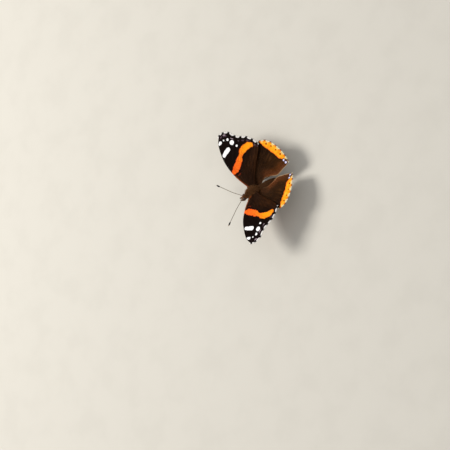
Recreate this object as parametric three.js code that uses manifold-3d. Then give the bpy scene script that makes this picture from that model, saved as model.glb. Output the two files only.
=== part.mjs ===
// Red admiral butterfly at life size, wings spread and raised, standing on four walking legs.
// Millimetres, +Z up, +Y towards the head, +X to the butterfly's right.
// The origin lies on the ground, below the middle of the spread wings and body.
import * as THREE from "three";
import { mergeVertices } from "three/addons/utils/BufferGeometryUtils.js";
import Module from "manifold-3d";

const wasm = await Module();
wasm.setup();

// Driving dimensions. Places are measured from the point midway between the two forewing hinges.
const hingeHeight = 7.6;
const nodeGap = 0.3;
const mergeDistance = 1e-4;
const sides = { right: 1, left: -1 };

const wing = {
  thickness: 0.5,
  veinRise: 0.13,
  veinHalfWidth: 0.32,
  marginStep: 1.15,
  scallopStep: 0.8,
  marginBorder: 0.45,
  veinStep: 1.5,
  veinPointGap: 0.26,
  membraneStep: 2.6,
  membranePointGap: 0.87,
  slopeStep: 0.05,
};

// Outlines are in plan: distance out from the body's middle, then distance ahead of the hinges.
const forewing = {
  dihedral: THREE.MathUtils.degToRad(15),
  rootOut: 2.8,
  rootRise: 2.7,
  rootReach: 5,
  costa: [[1.4, -1.6], [9, 2.3], [18.3, 4.7], [27.4, 4.1]],
  veinEnds: {
    radius4: [32.7, 1.6],
    radius5: [33, -1.1],
    media1: [31.6, -4.4],
    media2: [28.4, -6.8],
    media3: [26.6, -9.7],
    cubitus1: [25, -12.8],
    cubitus2: [22.5, -15.3],
    anal: [19.5, -16.8],
  },
  scallops: [0.1, 0.2, 0.4, 0.5, 0.4, 0.4, 0.3],
  innerMargin: [[17.2, -16.5], [12.6, -13.1], [6, -7.7], [1.4, -4.6]],
  veins: [
    [[2.4, -0.9], [8, 1.3], [13, 3.1], [17.5, 4.2]],
    [[2.4, -1.5], [10, 0.6], [19, 2.1], [24, 2.3], [28.6, 2.2], [32.2, 1.6]],
    [[10, 0.6], [15.5, 2.7], [21, 4.3]],
    [[14.5, 1.5], [19, 3.2], [24.3, 4.1]],
    [[20.5, 2.2], [25, 3.2], [28.6, 3.4]],
    [[25, 2.3], [29, 0.9], [32.6, -1.1]],
    [[17.4, 1.9], [22, -0.1], [25.6, -1.8], [31.2, -4.2]],
    [[17.3, -0.2], [21, -2.6], [24.3, -4.6], [28.1, -6.6]],
    [[16.2, -2.9], [22.6, -7], [26.3, -9.5]],
    [[15, -3.5], [20, -7.3], [24.7, -12.5]],
    [[11, -3.7], [16, -8.7], [22.2, -15]],
    [[2.4, -2.2], [11, -3.7], [15, -3.5], [17.3, -0.2], [17.4, 1.9]],
    [[2.4, -3.4], [10, -9.1], [19.2, -16.4]],
  ],
};

const hindwing = {
  dihedral: THREE.MathUtils.degToRad(13.2),
  rootOut: 2.3,
  rootAhead: -6,
  rootDrop: 1.2,
  rootRise: 3.1,
  rootReach: 6,
  innerFold: 0.7,
  innerFoldReach: 3.4,
  costa: [[1.6, -3.9], [4.2, -4.6], [8, -7.3], [13, -11.2], [18.4, -15.4]],
  veinEnds: {
    radius: [20.3, -18],
    media1: [19.3, -21],
    media2: [16.9, -23.6],
    media3: [14, -25.5],
    cubitus1: [10.7, -27],
    cubitus2: [7.2, -28],
    anal: [4.2, -28.4],
  },
  scallops: [0.3, 0.4, 0.4, 0.4, 0.4, 0.35],
  innerMargin: [
    [2.8, -27],
    [1.8, -24],
    [1.1, -21.6],
    [0.5, -18.9],
    [1.4, -16.4],
    [2, -14.4],
    [2.5, -11.3],
    [1.3, -8.4],
  ],
  veins: [
    [[2, -5.4], [9, -8.6], [18.3, -15.8]],
    [[2, -5.9], [5.6, -7.7], [12, -11.9], [20.1, -18]],
    [[8.2, -10.9], [13, -14.8], [19.1, -20.8]],
    [[9, -12.9], [13, -17.7], [16.8, -23.3]],
    [[8.2, -15.1], [11.3, -20.2], [13.9, -25.2]],
    [[7, -15], [9.2, -21.2], [10.7, -26.7]],
    [[5.2, -12.6], [6.6, -20.2], [7.2, -27.7]],
    [[5.6, -7.7], [8.2, -10.9], [9, -12.9], [8.2, -15.1], [7, -15], [5.2, -12.6], [2, -7]],
    [[2, -7.6], [3.6, -15], [4.2, -22], [4.2, -28.1]],
  ],
};

// Body sections run from front to back: place, middle height, half width, half height.
const bodySides = 20;
const headSections = [
  [5.35, -2.75, 0.25, 0.3],
  [5.2, -2.7, 0.62, 0.66],
  [4.7, -2.6, 0.98, 1.05],
  [4, -2.5, 1.14, 1.22],
  [3.3, -2.42, 1.08, 1.15],
  [2.8, -2.35, 0.85, 0.9],
];
const thoraxSections = [
  [2.5, -2.35, 1, 1.1],
  [2.1, -2.3, 1.6, 1.65],
  [1.5, -2.2, 2.1, 2.2],
  [0.7, -2.1, 2.5, 2.6],
  [-0.4, -2.05, 2.78, 2.85],
  [-1.9, -2.05, 2.82, 2.85],
  [-3.4, -2.15, 2.6, 2.6],
  [-4.7, -2.3, 2.15, 2.15],
  [-5.6, -2.4, 1.6, 1.65],
];
const abdomen = {
  front: -5.9,
  rear: -17.4,
  rings: 8,
  ringSteps: 3,
  grooveDepth: 0.07,
  frontHeight: -2.42,
  rearHeight: -2.75,
  halfWidths: [1.63, 1.75, 1.86, 1.92, 1.94, 1.87, 1.68, 1.3, 0.35],
};

const eye = { radius: 0.86, socketGap: 0.18, out: 0.98, ahead: 4.05, height: -2.35, around: 16, down: 10 };
const palp = {
  path: [[0.98, 4.3, -4.0], [0.85, 5.1, -3.75], [0.68, 5.9, -3.2], [0.58, 6.6, -2.45]],
  radii: [0.36, 0.42, 0.38, 0.16],
  steps: 8,
  sides: 10,
};
const proboscis = { coilRadius: 0.82, thickness: 0.5, ahead: 4.35, sides: 20 };
const antenna = {
  path: [[0.62, 4.55, -1.12], [4.3, 8.5, -0.4], [8.3, 12.3, 0.42], [12.4, 16.1, 1.2]],
  shaftRadius: 0.26,
  clubRadius: 0.5,
  tipRadius: 0.2,
  clubStart: 0.84,
  steps: 22,
  sides: 8,
};

// Each leg is a chain of joints: place, then radius. The last two joints are the foot on the ground.
const footRise = 0.17;
const ankleRise = 0.67;
const groundHeight = -hingeHeight;
const footHeight = groundHeight + footRise;
const ankleHeight = groundHeight + ankleRise;
const legs = {
  foreleg: [
    [0.95, 2, -4.35, 0.4],
    [1.5, 3.7, -5.1, 0.34],
    [1.2, 2.4, -5.75, 0.3],
    [1.1, 0.9, -6, 0.25],
  ],
  midleg: [
    [1.35, -0.3, -5.1, 0.46],
    [1.9, -0.1, -5.75, 0.4],
    [4.9, 1.6, -3.9, 0.33],
    [7.1, 2.4, ankleHeight, 0.28],
    [7.8, 2.7, footHeight, 0.27],
    [9.4, 3.9, footHeight, 0.26],
  ],
  hindleg: [
    [1.3, -2.9, -5.0, 0.46],
    [1.8, -3.4, -5.7, 0.4],
    [4.6, -6.6, -4.2, 0.33],
    [5.9, -10.9, ankleHeight, 0.28],
    [6.2, -11.8, footHeight, 0.27],
    [7.1, -14.6, footHeight, 0.26],
  ],
};
const legSides = 7;
const soleCut = { depth: 2, span: 80 };

// A closed geometry as a solid that can be joined and cut.
function toSolid(geometry) {
  const bare = geometry.index ? geometry.toNonIndexed() : geometry.clone();
  bare.deleteAttribute("normal");
  bare.deleteAttribute("uv");
  const merged = mergeVertices(bare, mergeDistance);
  return new wasm.Manifold(
    new wasm.Mesh({
      numProp: 3,
      vertProperties: new Float32Array(merged.attributes.position.array),
      triVerts: new Uint32Array(merged.index.array),
    }),
  );
}

// The largest closed surface of a solid, as a geometry.
function toGeometry(solid) {
  const bodies = solid.decompose();
  bodies.sort((a, b) => b.volume() - a.volume());
  const mesh = bodies[0].getMesh();
  const geometry = new THREE.BufferGeometry();
  geometry.setAttribute("position", new THREE.BufferAttribute(new Float32Array(mesh.vertProperties), 3));
  geometry.setIndex(new THREE.BufferAttribute(new Uint32Array(mesh.triVerts), 1));
  geometry.computeVertexNormals();
  return geometry;
}

// A closed skin over rings of equally many points, each end closed by a fan round its middle.
function ringSkin(rings) {
  const count = rings[0].length;
  const middleOf = (ring) =>
    ring.reduce((sum, point) => sum.add(point), new THREE.Vector3()).divideScalar(count);
  const points = [middleOf(rings[0]), ...rings.flat(), middleOf(rings[rings.length - 1])];
  const last = points.length - 1;
  const triangles = [];
  for (let side = 0; side < count; side++) {
    const next = (side + 1) % count;
    triangles.push(0, 1 + next, 1 + side);
    triangles.push(last, last - count + side, last - count + next);
    for (let ring = 0; ring < rings.length - 1; ring++) {
      const here = 1 + ring * count;
      const there = here + count;
      triangles.push(here + side, here + next, there + side);
      triangles.push(here + next, there + next, there + side);
    }
  }
  const geometry = new THREE.BufferGeometry().setFromPoints(points);
  geometry.setIndex(triangles);
  return geometry;
}

// A rounded body form through elliptical sections that follow one another along Y.
function bodyForm(sections, growth = 0) {
  const rings = sections.map(([ahead, height, halfWidth, halfHeight]) =>
    Array.from({ length: bodySides }, (_, side) => {
      const angle = (side / bodySides) * 2 * Math.PI;
      const out = (halfWidth + growth) * Math.cos(angle);
      const up = (halfHeight + growth) * Math.sin(angle);
      return new THREE.Vector3(out, ahead, height + up);
    }),
  );
  return ringSkin(rings);
}

// A round tube along a smooth path, its radius given by a function of the share of the length.
function tube(path, radiusAt, steps, sideCount) {
  const curve = new THREE.CatmullRomCurve3(path.map((point) => new THREE.Vector3(...point)));
  const frames = curve.computeFrenetFrames(steps);
  const rings = Array.from({ length: steps + 1 }, (_, step) => {
    const share = step / steps;
    const middle = curve.getPointAt(share);
    return Array.from({ length: sideCount }, (_, side) => {
      const angle = (side / sideCount) * 2 * Math.PI;
      return middle
        .clone()
        .addScaledVector(frames.normals[step], radiusAt(share) * Math.cos(angle))
        .addScaledVector(frames.binormals[step], radiusAt(share) * Math.sin(angle));
    });
  });
  return ringSkin(rings);
}

// A chain of tapered rods with a ball at every joint.
function limbSolid(joints) {
  const up = new THREE.Vector3(0, 1, 0);
  const pieces = joints.map(([x, y, z, radius]) =>
    toSolid(new THREE.SphereGeometry(radius, legSides, legSides - 2).translate(x, y, z)),
  );
  for (let joint = 1; joint < joints.length; joint++) {
    const [startX, startY, startZ, startRadius] = joints[joint - 1];
    const [endX, endY, endZ, endRadius] = joints[joint];
    const start = new THREE.Vector3(startX, startY, startZ);
    const end = new THREE.Vector3(endX, endY, endZ);
    const along = end.clone().sub(start);
    const rod = new THREE.CylinderGeometry(endRadius, startRadius, along.length(), legSides);
    rod.applyQuaternion(new THREE.Quaternion().setFromUnitVectors(up, along.clone().normalize()));
    rod.translate(...start.add(end).multiplyScalar(0.5));
    pieces.push(toSolid(rod));
  }
  return pieces.reduce((joined, piece) => joined.add(piece));
}

// Points at even steps along a smooth line through a few places in plan.
function planLine(places, step) {
  const curve = new THREE.SplineCurve(places.map((place) => new THREE.Vector2(...place)));
  const count = Math.max(2, Math.round(curve.getLength() / step));
  return curve.getSpacedPoints(count);
}

// The wing's outline in plan: costa, scalloped outer margin between the vein ends, inner margin.
function wingOutline(form) {
  const ends = Object.values(form.veinEnds);
  const outline = planLine([...form.costa, ends[0]], wing.marginStep);
  form.scallops.forEach((depth, interspace) => {
    const start = new THREE.Vector2(...ends[interspace]);
    const end = new THREE.Vector2(...ends[interspace + 1]);
    const along = end.clone().sub(start);
    const inward = new THREE.Vector2(along.y, -along.x).normalize();
    const count = Math.max(3, Math.round(along.length() / wing.scallopStep));
    for (let step = 1; step <= count; step++) {
      const share = step / count;
      const point = start.clone().addScaledVector(along, share);
      outline.push(point.addScaledVector(inward, depth * Math.sin(Math.PI * share)));
    }
  });
  const inner = planLine([ends[ends.length - 1], ...form.innerMargin], wing.marginStep);
  outline.push(...inner.slice(1));
  return outline;
}

function insideOutline(outline, x, y) {
  let inside = false;
  outline.forEach((corner, index) => {
    const other = outline[(index + outline.length - 1) % outline.length];
    const crosses = corner.y > y !== other.y > y;
    if (crosses && x < ((other.x - corner.x) * (y - corner.y)) / (other.y - corner.y) + corner.x) {
      inside = !inside;
    }
  });
  return inside;
}

function distanceToOutline(outline, x, y) {
  const place = new THREE.Vector3(x, y, 0);
  const nearest = new THREE.Vector3();
  const distances = outline.map((corner, index) => {
    const next = outline[(index + 1) % outline.length];
    const start = new THREE.Vector3(corner.x, corner.y, 0);
    const edge = new THREE.Line3(start, new THREE.Vector3(next.x, next.y, 0));
    return edge.closestPointToPoint(place, true, nearest).distanceTo(place);
  });
  return Math.min(...distances);
}

// Points of the wing's mesh in plan: the outline, then vein crests and their feet, then the membrane.
function wingPoints(form, outline) {
  const points = outline.map((point) => ({ x: point.x, y: point.y, rise: 0 }));
  const clearOf = (x, y, distance) =>
    points.every((point) => Math.hypot(point.x - x, point.y - y) > distance);
  const addPoint = (x, y, rise, distance) => {
    const onMembrane = insideOutline(outline, x, y) && distanceToOutline(outline, x, y) > wing.marginBorder;
    if (onMembrane && clearOf(x, y, distance)) {
      points.push({ x, y, rise });
    }
  };
  const crests = form.veins.map((vein) => planLine(vein, wing.veinStep));
  crests.flat().forEach((point) => addPoint(point.x, point.y, wing.veinRise, wing.veinPointGap));
  crests.forEach((crest) => {
    crest.forEach((point, index) => {
      const before = crest[Math.max(0, index - 1)];
      const after = crest[Math.min(crest.length - 1, index + 1)];
      const across = new THREE.Vector2(before.y - after.y, after.x - before.x).normalize();
      for (const side of [-1, 1]) {
        const foot = point.clone().addScaledVector(across, side * wing.veinHalfWidth);
        addPoint(foot.x, foot.y, 0, wing.veinPointGap);
      }
    });
  });
  const box = new THREE.Box2().setFromPoints(outline);
  const rowStep = wing.membraneStep * Math.sin(Math.PI / 3);
  let shifted = false;
  for (let y = box.min.y; y < box.max.y; y += rowStep) {
    for (let x = box.min.x; x < box.max.x; x += wing.membraneStep) {
      addPoint(x + (shifted ? wing.membraneStep / 2 : 0), y, 0, wing.membranePointGap);
    }
    shifted = !shifted;
  }
  return points;
}

// The circle through three points, or none where they lie in line.
function circleThrough(a, b, c) {
  const cross = 2 * ((b.x - a.x) * (c.y - a.y) - (b.y - a.y) * (c.x - a.x));
  if (cross === 0) return null;
  const squareB = (b.x - a.x) ** 2 + (b.y - a.y) ** 2;
  const squareC = (c.x - a.x) ** 2 + (c.y - a.y) ** 2;
  const x = a.x + ((c.y - a.y) * squareB - (b.y - a.y) * squareC) / cross;
  const y = a.y + ((b.x - a.x) * squareC - (c.x - a.x) * squareB) / cross;
  return { x, y, squareRadius: (a.x - x) ** 2 + (a.y - y) ** 2 };
}

// Delaunay triangles over points in plan, turned the same way round, within the outline.
function planTriangles(points, outline) {
  const far = 1000 * wing.marginStep;
  const all = [...points, { x: -far, y: -far }, { x: far, y: -far }, { x: 0, y: far }];
  const count = points.length;
  const makeTriangle = (a, b, c) => ({ corners: [a, b, c], circle: circleThrough(all[a], all[b], all[c]) });
  let triangles = [makeTriangle(count, count + 1, count + 2)];
  for (let index = 0; index < count; index++) {
    const point = points[index];
    const rim = new Map();
    const kept = [];
    for (const triangle of triangles) {
      const { circle, corners } = triangle;
      const reaches = (circle.x - point.x) ** 2 + (circle.y - point.y) ** 2 < circle.squareRadius;
      if (!reaches) {
        kept.push(triangle);
        continue;
      }
      corners.forEach((corner, side) => {
        const next = corners[(side + 1) % 3];
        const twin = next + "," + corner;
        if (!rim.delete(twin)) rim.set(corner + "," + next, [corner, next]);
      });
    }
    const fresh = [...rim.values()].map(([from, to]) => makeTriangle(from, to, index));
    triangles = kept.concat(fresh.filter((triangle) => triangle.circle));
  }
  return triangles
    .map((triangle) => triangle.corners)
    .filter((corners) => corners.every((corner) => corner < count))
    .filter(([a, b, c]) => {
      const middleX = (all[a].x + all[b].x + all[c].x) / 3;
      const middleY = (all[a].y + all[b].y + all[c].y) / 3;
      return insideOutline(outline, middleX, middleY);
    });
}

// A wing as one closed plate: equal triangles on both faces, veins raised on each, a rim all round.
function wingForm(form, heightAt) {
  const outline = wingOutline(form);
  const points = wingPoints(form, outline);
  const faces = planTriangles(points, outline);
  const step = wing.slopeStep;
  const vertices = [];
  for (const face of [1, -1]) {
    for (const { x, y, rise } of points) {
      const slopeX = (heightAt(x + step, y) - heightAt(x - step, y)) / (2 * step);
      const slopeY = (heightAt(x, y + step) - heightAt(x, y - step)) / (2 * step);
      const normal = new THREE.Vector3(-slopeX, -slopeY, 1).normalize();
      const offset = face * (wing.thickness / 2 + rise);
      vertices.push(new THREE.Vector3(x, y, heightAt(x, y)).addScaledVector(normal, offset));
    }
  }
  const count = points.length;
  const triangles = [];
  const rim = new Map();
  for (const [a, b, c] of faces) {
    triangles.push(a, b, c, count + a, count + c, count + b);
    for (const [from, to] of [[a, b], [b, c], [c, a]]) {
      if (!rim.delete(to + "," + from)) rim.set(from + "," + to, [from, to]);
    }
  }
  for (const [from, to] of rim.values()) {
    triangles.push(from, count + from, to, to, count + from, count + to);
  }
  const geometry = new THREE.BufferGeometry().setFromPoints(vertices);
  geometry.setIndex(triangles);
  return geometry;
}

// The forewing climbs steeply from its hinge and then flattens to its dihedral.
function forewingHeight(out) {
  const beyond = out - forewing.rootOut;
  const climb = forewing.rootRise * (1 - Math.exp(-Math.max(beyond, 0) / forewing.rootReach));
  return climb + Math.tan(forewing.dihedral) * beyond;
}

// The hindwing lies just under the forewing and folds down a little beside the abdomen.
function hindwingHeight(out, ahead) {
  const distance = Math.hypot(out - hindwing.rootOut, Math.min(ahead - hindwing.rootAhead, 0));
  const climb = hindwing.rootRise * (1 - Math.exp(-distance / hindwing.rootReach));
  const fold = hindwing.innerFold * Math.exp(-(((out - 1) / hindwing.innerFoldReach) ** 2));
  const level = climb - hindwing.rootDrop - fold;
  return level + Math.tan(hindwing.dihedral) * (out - hindwing.rootOut);
}

// Sections of the abdomen: full in the middle, tapered to the tip, with a groove after each ring.
function abdomenSections() {
  const steps = abdomen.rings * abdomen.ringSteps;
  const profile = new THREE.SplineCurve(abdomen.halfWidths.map((width, ring) => new THREE.Vector2(ring, width)));
  return Array.from({ length: steps + 1 }, (_, step) => {
    const share = step / steps;
    const groove = step % abdomen.ringSteps === 0 && step > 0 ? abdomen.grooveDepth : 0;
    const halfWidth = profile.getPoint(share).y - groove;
    const ahead = THREE.MathUtils.lerp(abdomen.front, abdomen.rear, share);
    const height = THREE.MathUtils.lerp(abdomen.frontHeight, abdomen.rearHeight, share);
    return [ahead, height, halfWidth, halfWidth];
  });
}

const scales = (colour, roughness) => ({ color: colour, roughness, metalness: 0 });
const finishes = {
  wingScales: scales(0x2a1710, 0.75),
  bodyHair: scales(0x3a2417, 0.9),
  eye: scales(0x1d120d, 0.25),
  feeler: scales(0x4a3a2c, 0.7),
  leg: scales(0x6a5138, 0.75),
};

const butterfly = new THREE.Group();

function addNode(name, geometry, finish, side = 1) {
  const mesh = new THREE.Mesh(geometry, new THREE.MeshStandardMaterial(finishes[finish]));
  mesh.name = name;
  mesh.scale.x = side;
  butterfly.add(mesh);
}

const thorax = toSolid(bodyForm(thoraxSections));
const grownThorax = toSolid(bodyForm(thoraxSections, nodeGap));
const grownAbdomen = toSolid(bodyForm(abdomenSections(), nodeGap));
const eyeGeometry = (radius) =>
  new THREE.SphereGeometry(radius, eye.around, eye.down).translate(eye.out, eye.ahead, eye.height);
const mirrored = (solid) => solid.mirror([1, 0, 0]);

const eyeSocket = toSolid(eyeGeometry(eye.radius + eye.socketGap));
const head = toSolid(bodyForm(headSections)).subtract(eyeSocket).subtract(mirrored(eyeSocket));
addNode("head", toGeometry(head), "bodyHair");
addNode("thorax", toGeometry(thorax), "bodyHair");
addNode("abdomen", bodyForm(abdomenSections()), "bodyHair");

const { coilRadius } = proboscis;
const coil = new THREE.CylinderGeometry(coilRadius, coilRadius, proboscis.thickness, proboscis.sides);
const [, mouthHeight, , mouthHalfHeight] = headSections[2];
const coilHeight = mouthHeight - mouthHalfHeight - nodeGap - coilRadius;
addNode("proboscis", coil.rotateZ(Math.PI / 2).translate(0, proboscis.ahead, coilHeight), "feeler");

const forewingSolid = toSolid(wingForm(forewing, forewingHeight)).subtract(grownThorax);
const hindwingPlate = toSolid(wingForm(hindwing, hindwingHeight));
const hindwingSolid = hindwingPlate.subtract(grownThorax).subtract(grownAbdomen);

const palpRadius = (share) => {
  const place = share * (palp.radii.length - 1);
  const index = Math.min(palp.radii.length - 2, Math.floor(place));
  return THREE.MathUtils.lerp(palp.radii[index], palp.radii[index + 1], place - index);
};

const antennaRadius = (share) => {
  const clubShare = (share - antenna.clubStart) / (1 - antenna.clubStart);
  if (clubShare <= 0) return antenna.shaftRadius;
  const swell = Math.sin(Math.PI * clubShare);
  const base = THREE.MathUtils.lerp(antenna.shaftRadius, antenna.tipRadius, clubShare);
  return base + (antenna.clubRadius - antenna.shaftRadius) * swell;
};

const ground = new THREE.BoxGeometry(soleCut.span, soleCut.span, soleCut.depth);
ground.translate(0, 0, groundHeight - soleCut.depth / 2);
const groundSolid = toSolid(ground);

for (const [sideName, side] of Object.entries(sides)) {
  addNode("eye_" + sideName, eyeGeometry(eye.radius), "eye", side);
  addNode("palp_" + sideName, tube(palp.path, palpRadius, palp.steps, palp.sides), "bodyHair", side);
  const feeler = tube(antenna.path, antennaRadius, antenna.steps, antenna.sides);
  addNode("antenna_" + sideName, feeler, "feeler", side);
  addNode("forewing_" + sideName, toGeometry(forewingSolid), "wingScales", side);
  addNode("hindwing_" + sideName, toGeometry(hindwingSolid), "wingScales", side);
  for (const [legName, joints] of Object.entries(legs)) {
    const leg = limbSolid(joints).subtract(grownThorax).subtract(groundSolid);
    addNode(legName + "_" + sideName, toGeometry(leg), "leg", side);
  }
}

// The group is moved so that the origin lies below the middle of the whole butterfly.
butterfly.updateMatrixWorld(true);
const extent = new THREE.Box3().setFromObject(butterfly);
butterfly.children.forEach((mesh) => {
  mesh.position.set(0, -(extent.min.y + extent.max.y) / 2, hingeHeight);
});

export default butterfly;
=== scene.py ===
import math

import bpy
import numpy as np
from mathutils import Matrix, Vector, geometry


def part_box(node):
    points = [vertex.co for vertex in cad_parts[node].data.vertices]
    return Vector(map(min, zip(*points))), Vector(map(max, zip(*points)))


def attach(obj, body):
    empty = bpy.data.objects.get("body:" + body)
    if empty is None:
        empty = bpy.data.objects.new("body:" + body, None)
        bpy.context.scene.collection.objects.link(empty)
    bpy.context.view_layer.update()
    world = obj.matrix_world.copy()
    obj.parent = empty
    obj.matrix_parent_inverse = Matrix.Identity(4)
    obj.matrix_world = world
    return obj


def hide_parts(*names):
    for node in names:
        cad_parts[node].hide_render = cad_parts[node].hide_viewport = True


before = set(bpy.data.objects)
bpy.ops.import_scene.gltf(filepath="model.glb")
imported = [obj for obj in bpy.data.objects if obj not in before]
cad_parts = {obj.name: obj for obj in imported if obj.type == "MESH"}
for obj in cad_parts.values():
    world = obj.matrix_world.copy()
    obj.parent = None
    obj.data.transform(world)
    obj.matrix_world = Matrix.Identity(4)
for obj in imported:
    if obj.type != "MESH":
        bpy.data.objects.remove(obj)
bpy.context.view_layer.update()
print("frame loaded")

# All shapes are worked out in millimetres from the point midway between the forewing hinges,
# then moved into the frame: x to the butterfly's right, y ahead, z up
mm = 0.001
hingeHeight = 7.6
abdomenFront = -5.9
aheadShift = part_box("abdomen")[1].y / mm - abdomenFront
chance = np.random.default_rng(7)  # seeded, so that every run grows the same hair
sides = (("Right", 1), ("Left", -1))


def toFrame(points):
    return (np.asarray(points, float) + [0, aheadShift, hingeHeight]) * mm


def hexColour(code):
    parts = [int(code[i:i + 2], 16) / 255 for i in (1, 3, 5)]
    return (*[c / 12.92 if c <= 0.04045 else ((c + 0.055) / 1.055) ** 2.4 for c in parts], 1.0)


def unit(vectors):
    return vectors / np.maximum(np.linalg.norm(vectors, axis=-1, keepdims=True), 1e-9)


# Lines in plan


def spacedAlong(line, step):
    gaps = np.linalg.norm(np.diff(line, axis=0), axis=1)
    along = np.concatenate([[0], np.cumsum(gaps)])
    count = max(2, int(round(along[-1] / step)))
    places = np.linspace(0, along[-1], count + 1)
    return np.column_stack([np.interp(places, along, line[:, k]) for k in range(line.shape[1])])


def splineThrough(places, step, finePoints=40):
    places = np.array(places, float)
    padded = np.vstack([places[:1], places, places[-1:]])
    t = np.linspace(0, 1, finePoints, endpoint=False)[:, None]
    pieces = []
    for i in range(1, len(padded) - 2):
        before, start, end, after = padded[i - 1:i + 3]
        leave, arrive = (end - before) / 2, (after - start) / 2
        cubic = (2 * start - 2 * end + leave + arrive) * t ** 3
        square = (-3 * start + 3 * end - 2 * leave - arrive) * t ** 2
        pieces.append(cubic + square + leave * t + start)
    return spacedAlong(np.vstack(pieces + [places[-1:]]), step)


def nearestOnSegment(points, start, end):
    # How far along the segment the nearest place lies, from 0 to 1, and the distance to it
    along = end - start
    share = np.clip(((points - start) @ along) / max(along @ along, 1e-12), 0, 1)
    return share, np.linalg.norm(points - start - share[:, None] * along, axis=1)


def distanceToLine(points, line):
    nearest = np.full(len(points), 1e9)
    for start, end in zip(line[:-1], line[1:]):
        nearest = np.minimum(nearest, nearestOnSegment(points, start, end)[1])
    return nearest


def depthInChain(points, chain):
    # How deep a point lies in a chain of blobs (out, ahead, radius), in mm, negative outside
    deepest = np.full(len(points), -1e9)
    blobs = [np.array(blob, float) for blob in chain]
    for first, second in zip(blobs, blobs[1:] or blobs):
        share, away = nearestOnSegment(points, first[:2], second[:2])
        deepest = np.maximum(deepest, first[2] + share * (second[2] - first[2]) - away)
    return deepest


def insideOutline(points, outline):
    inside = np.zeros(len(points), bool)
    for start, end in zip(outline, np.roll(outline, -1, axis=0)):
        if start[1] == end[1]:
            continue
        crosses = (start[1] > points[:, 1]) != (end[1] > points[:, 1])
        where = start[0] + (points[:, 1] - start[1]) * (end[0] - start[0]) / (end[1] - start[1])
        inside ^= crosses & (points[:, 0] < where)
    return inside


# Meshes and nodes


def meshObject(name, vertices, faces, material, slot, *nodes):
    # A piece in one material; the slot it is handed is not used. It stands in for these nodes of the solid
    # model, if any are named
    mesh = bpy.data.meshes.new(name)
    mesh.from_pydata(toFrame(vertices).tolist(), [], [list(face) for face in faces])
    mesh.materials.append(material)
    mesh.shade_smooth()
    piece = bpy.data.objects.new(name, mesh)
    bpy.context.scene.collection.objects.link(piece)
    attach(piece, "root")
    if nodes:
        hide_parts(*nodes)
    return piece


def keepFields(piece, fields):
    for name, values in fields.items():
        layer = piece.data.attributes.new(name, "FLOAT", "POINT")
        layer.data.foreach_set("value", np.asarray(values, np.float32))


def keepMap(piece, places):
    # One place on the map for each vertex, under the name OFBake
    layer = piece.data.uv_layers.new(name="OFBake")
    corners = np.empty(len(piece.data.loops), np.int32)
    piece.data.loops.foreach_get("vertex_index", corners)
    layer.data.foreach_set("uv", np.asarray(places, np.float32)[corners].ravel())


def addNode(tree, kind, inputs=None, **settings):
    # An input is a number, another node's socket, a hex colour or the name of a field kept on the mesh
    node = tree.nodes.new(kind)
    for name, value in settings.items():
        setattr(node, name, value)
    for name, value in (inputs or {}).items():
        if isinstance(value, str) and value.startswith("#"):
            value = hexColour(value)
        elif isinstance(value, str):
            value = addNode(tree, "ShaderNodeAttribute", attribute_name=value).outputs["Fac"]
        if isinstance(value, bpy.types.NodeSocket):
            tree.links.new(value, node.inputs[name])
        else:
            node.inputs[name].default_value = value
    return node


def newMaterial(name):
    # A material, its nodes, and the place on the piece, in metres, that patterns are laid over
    material = bpy.data.materials.new(name)
    material.use_nodes = True
    tree = material.node_tree
    return material, tree, addNode(tree, "ShaderNodeTexCoord").outputs["Object"]


def paint(tree, colour, *markings):
    # Lays markings over a colour, one after another. Each is its colour, the field that brings it on, and
    # the field's values where it starts and where it is full. After these may stand how strong it is at
    # most, a noise and its reach that make the edge ragged, and how strong it is at least
    for over, field, start, full, *more in markings:
        most, ragged, reach, least = more + [1.0, None, 0.0, 0.0][len(more):]
        if ragged is not None:
            field = addNode(tree, "ShaderNodeMath", {0: ragged, 1: reach, 2: field},
                            operation="MULTIPLY_ADD").outputs[0]
        mask = addNode(tree, "ShaderNodeMapRange",
                       {"Value": field, "From Min": start, "From Max": full, "To Min": least, "To Max": most},
                       interpolation_type="SMOOTHSTEP").outputs[0]
        colour = addNode(tree, "ShaderNodeMix", {0: mask, 6: colour, 7: over}, data_type="RGBA").outputs[2]
    return colour


def scaleFor(size):
    # The scale of a pattern laid in metres whose marks are this many millimetres wide
    return 1 / (size * mm)


def noiseAbout(tree, vector, scale, detail=2.0):
    # Noise about nought, so that it pushes an edge both ways
    noise = addNode(tree, "ShaderNodeTexNoise", {"Vector": vector, "Scale": scale, "Detail": detail})
    return addNode(tree, "ShaderNodeMath", {0: noise.outputs["Fac"], 1: 0.5}, operation="SUBTRACT").outputs[0]


def joinSurface(material, colour, settings, height=None, strength=0.0, depth=0.0, invert=False):
    # Joins a colour and a relief this many mm deep to the shader, and sets the shader's own sockets
    tree = material.node_tree
    surface = tree.nodes["Principled BSDF"]
    tree.links.new(colour, surface.inputs["Base Color"])
    if height is not None:
        bumpInputs = {"Strength": strength, "Distance": depth * mm, "Height": height}
        relief = addNode(tree, "ShaderNodeBump", bumpInputs, invert=invert)
        tree.links.new(relief.outputs[0], surface.inputs["Normal"])
    for socket, value in settings.items():
        surface.inputs[socket].default_value = value
    return material


def joinHair(material, colour, hair):
    # Tufts of many shades, some paler and some darker than the colour given. Each is darkened towards its
    # root: painted shade where the tufts crowd together, which also leaves the hair its paler tips
    tree = material.node_tree
    pale, dark = (addNode(tree, "ShaderNodeHueSaturation",
                          {"Value": value, "Saturation": saturation, "Color": colour}).outputs[0]
                  for value, saturation in (hair["pale"], hair["dark"]))
    colour = paint(
        tree, colour,
        (pale, "tuftTone", *hair["paleTufts"]),
        (dark, "tuftTone", *hair["darkTufts"]))
    # Painted shade: the colour fades into the dark shade towards each tuft's root
    colour = paint(tree, dark, (colour, "alongTuft", 0.0, hair["shadedRootEnd"], 1.0, None, 0.0, hair["shadedRootShare"]))
    return joinSurface(material, colour, {"Roughness": 0.55, "Specular IOR Level": hair["gloss"]})


# Tufts of hair and scales

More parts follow.
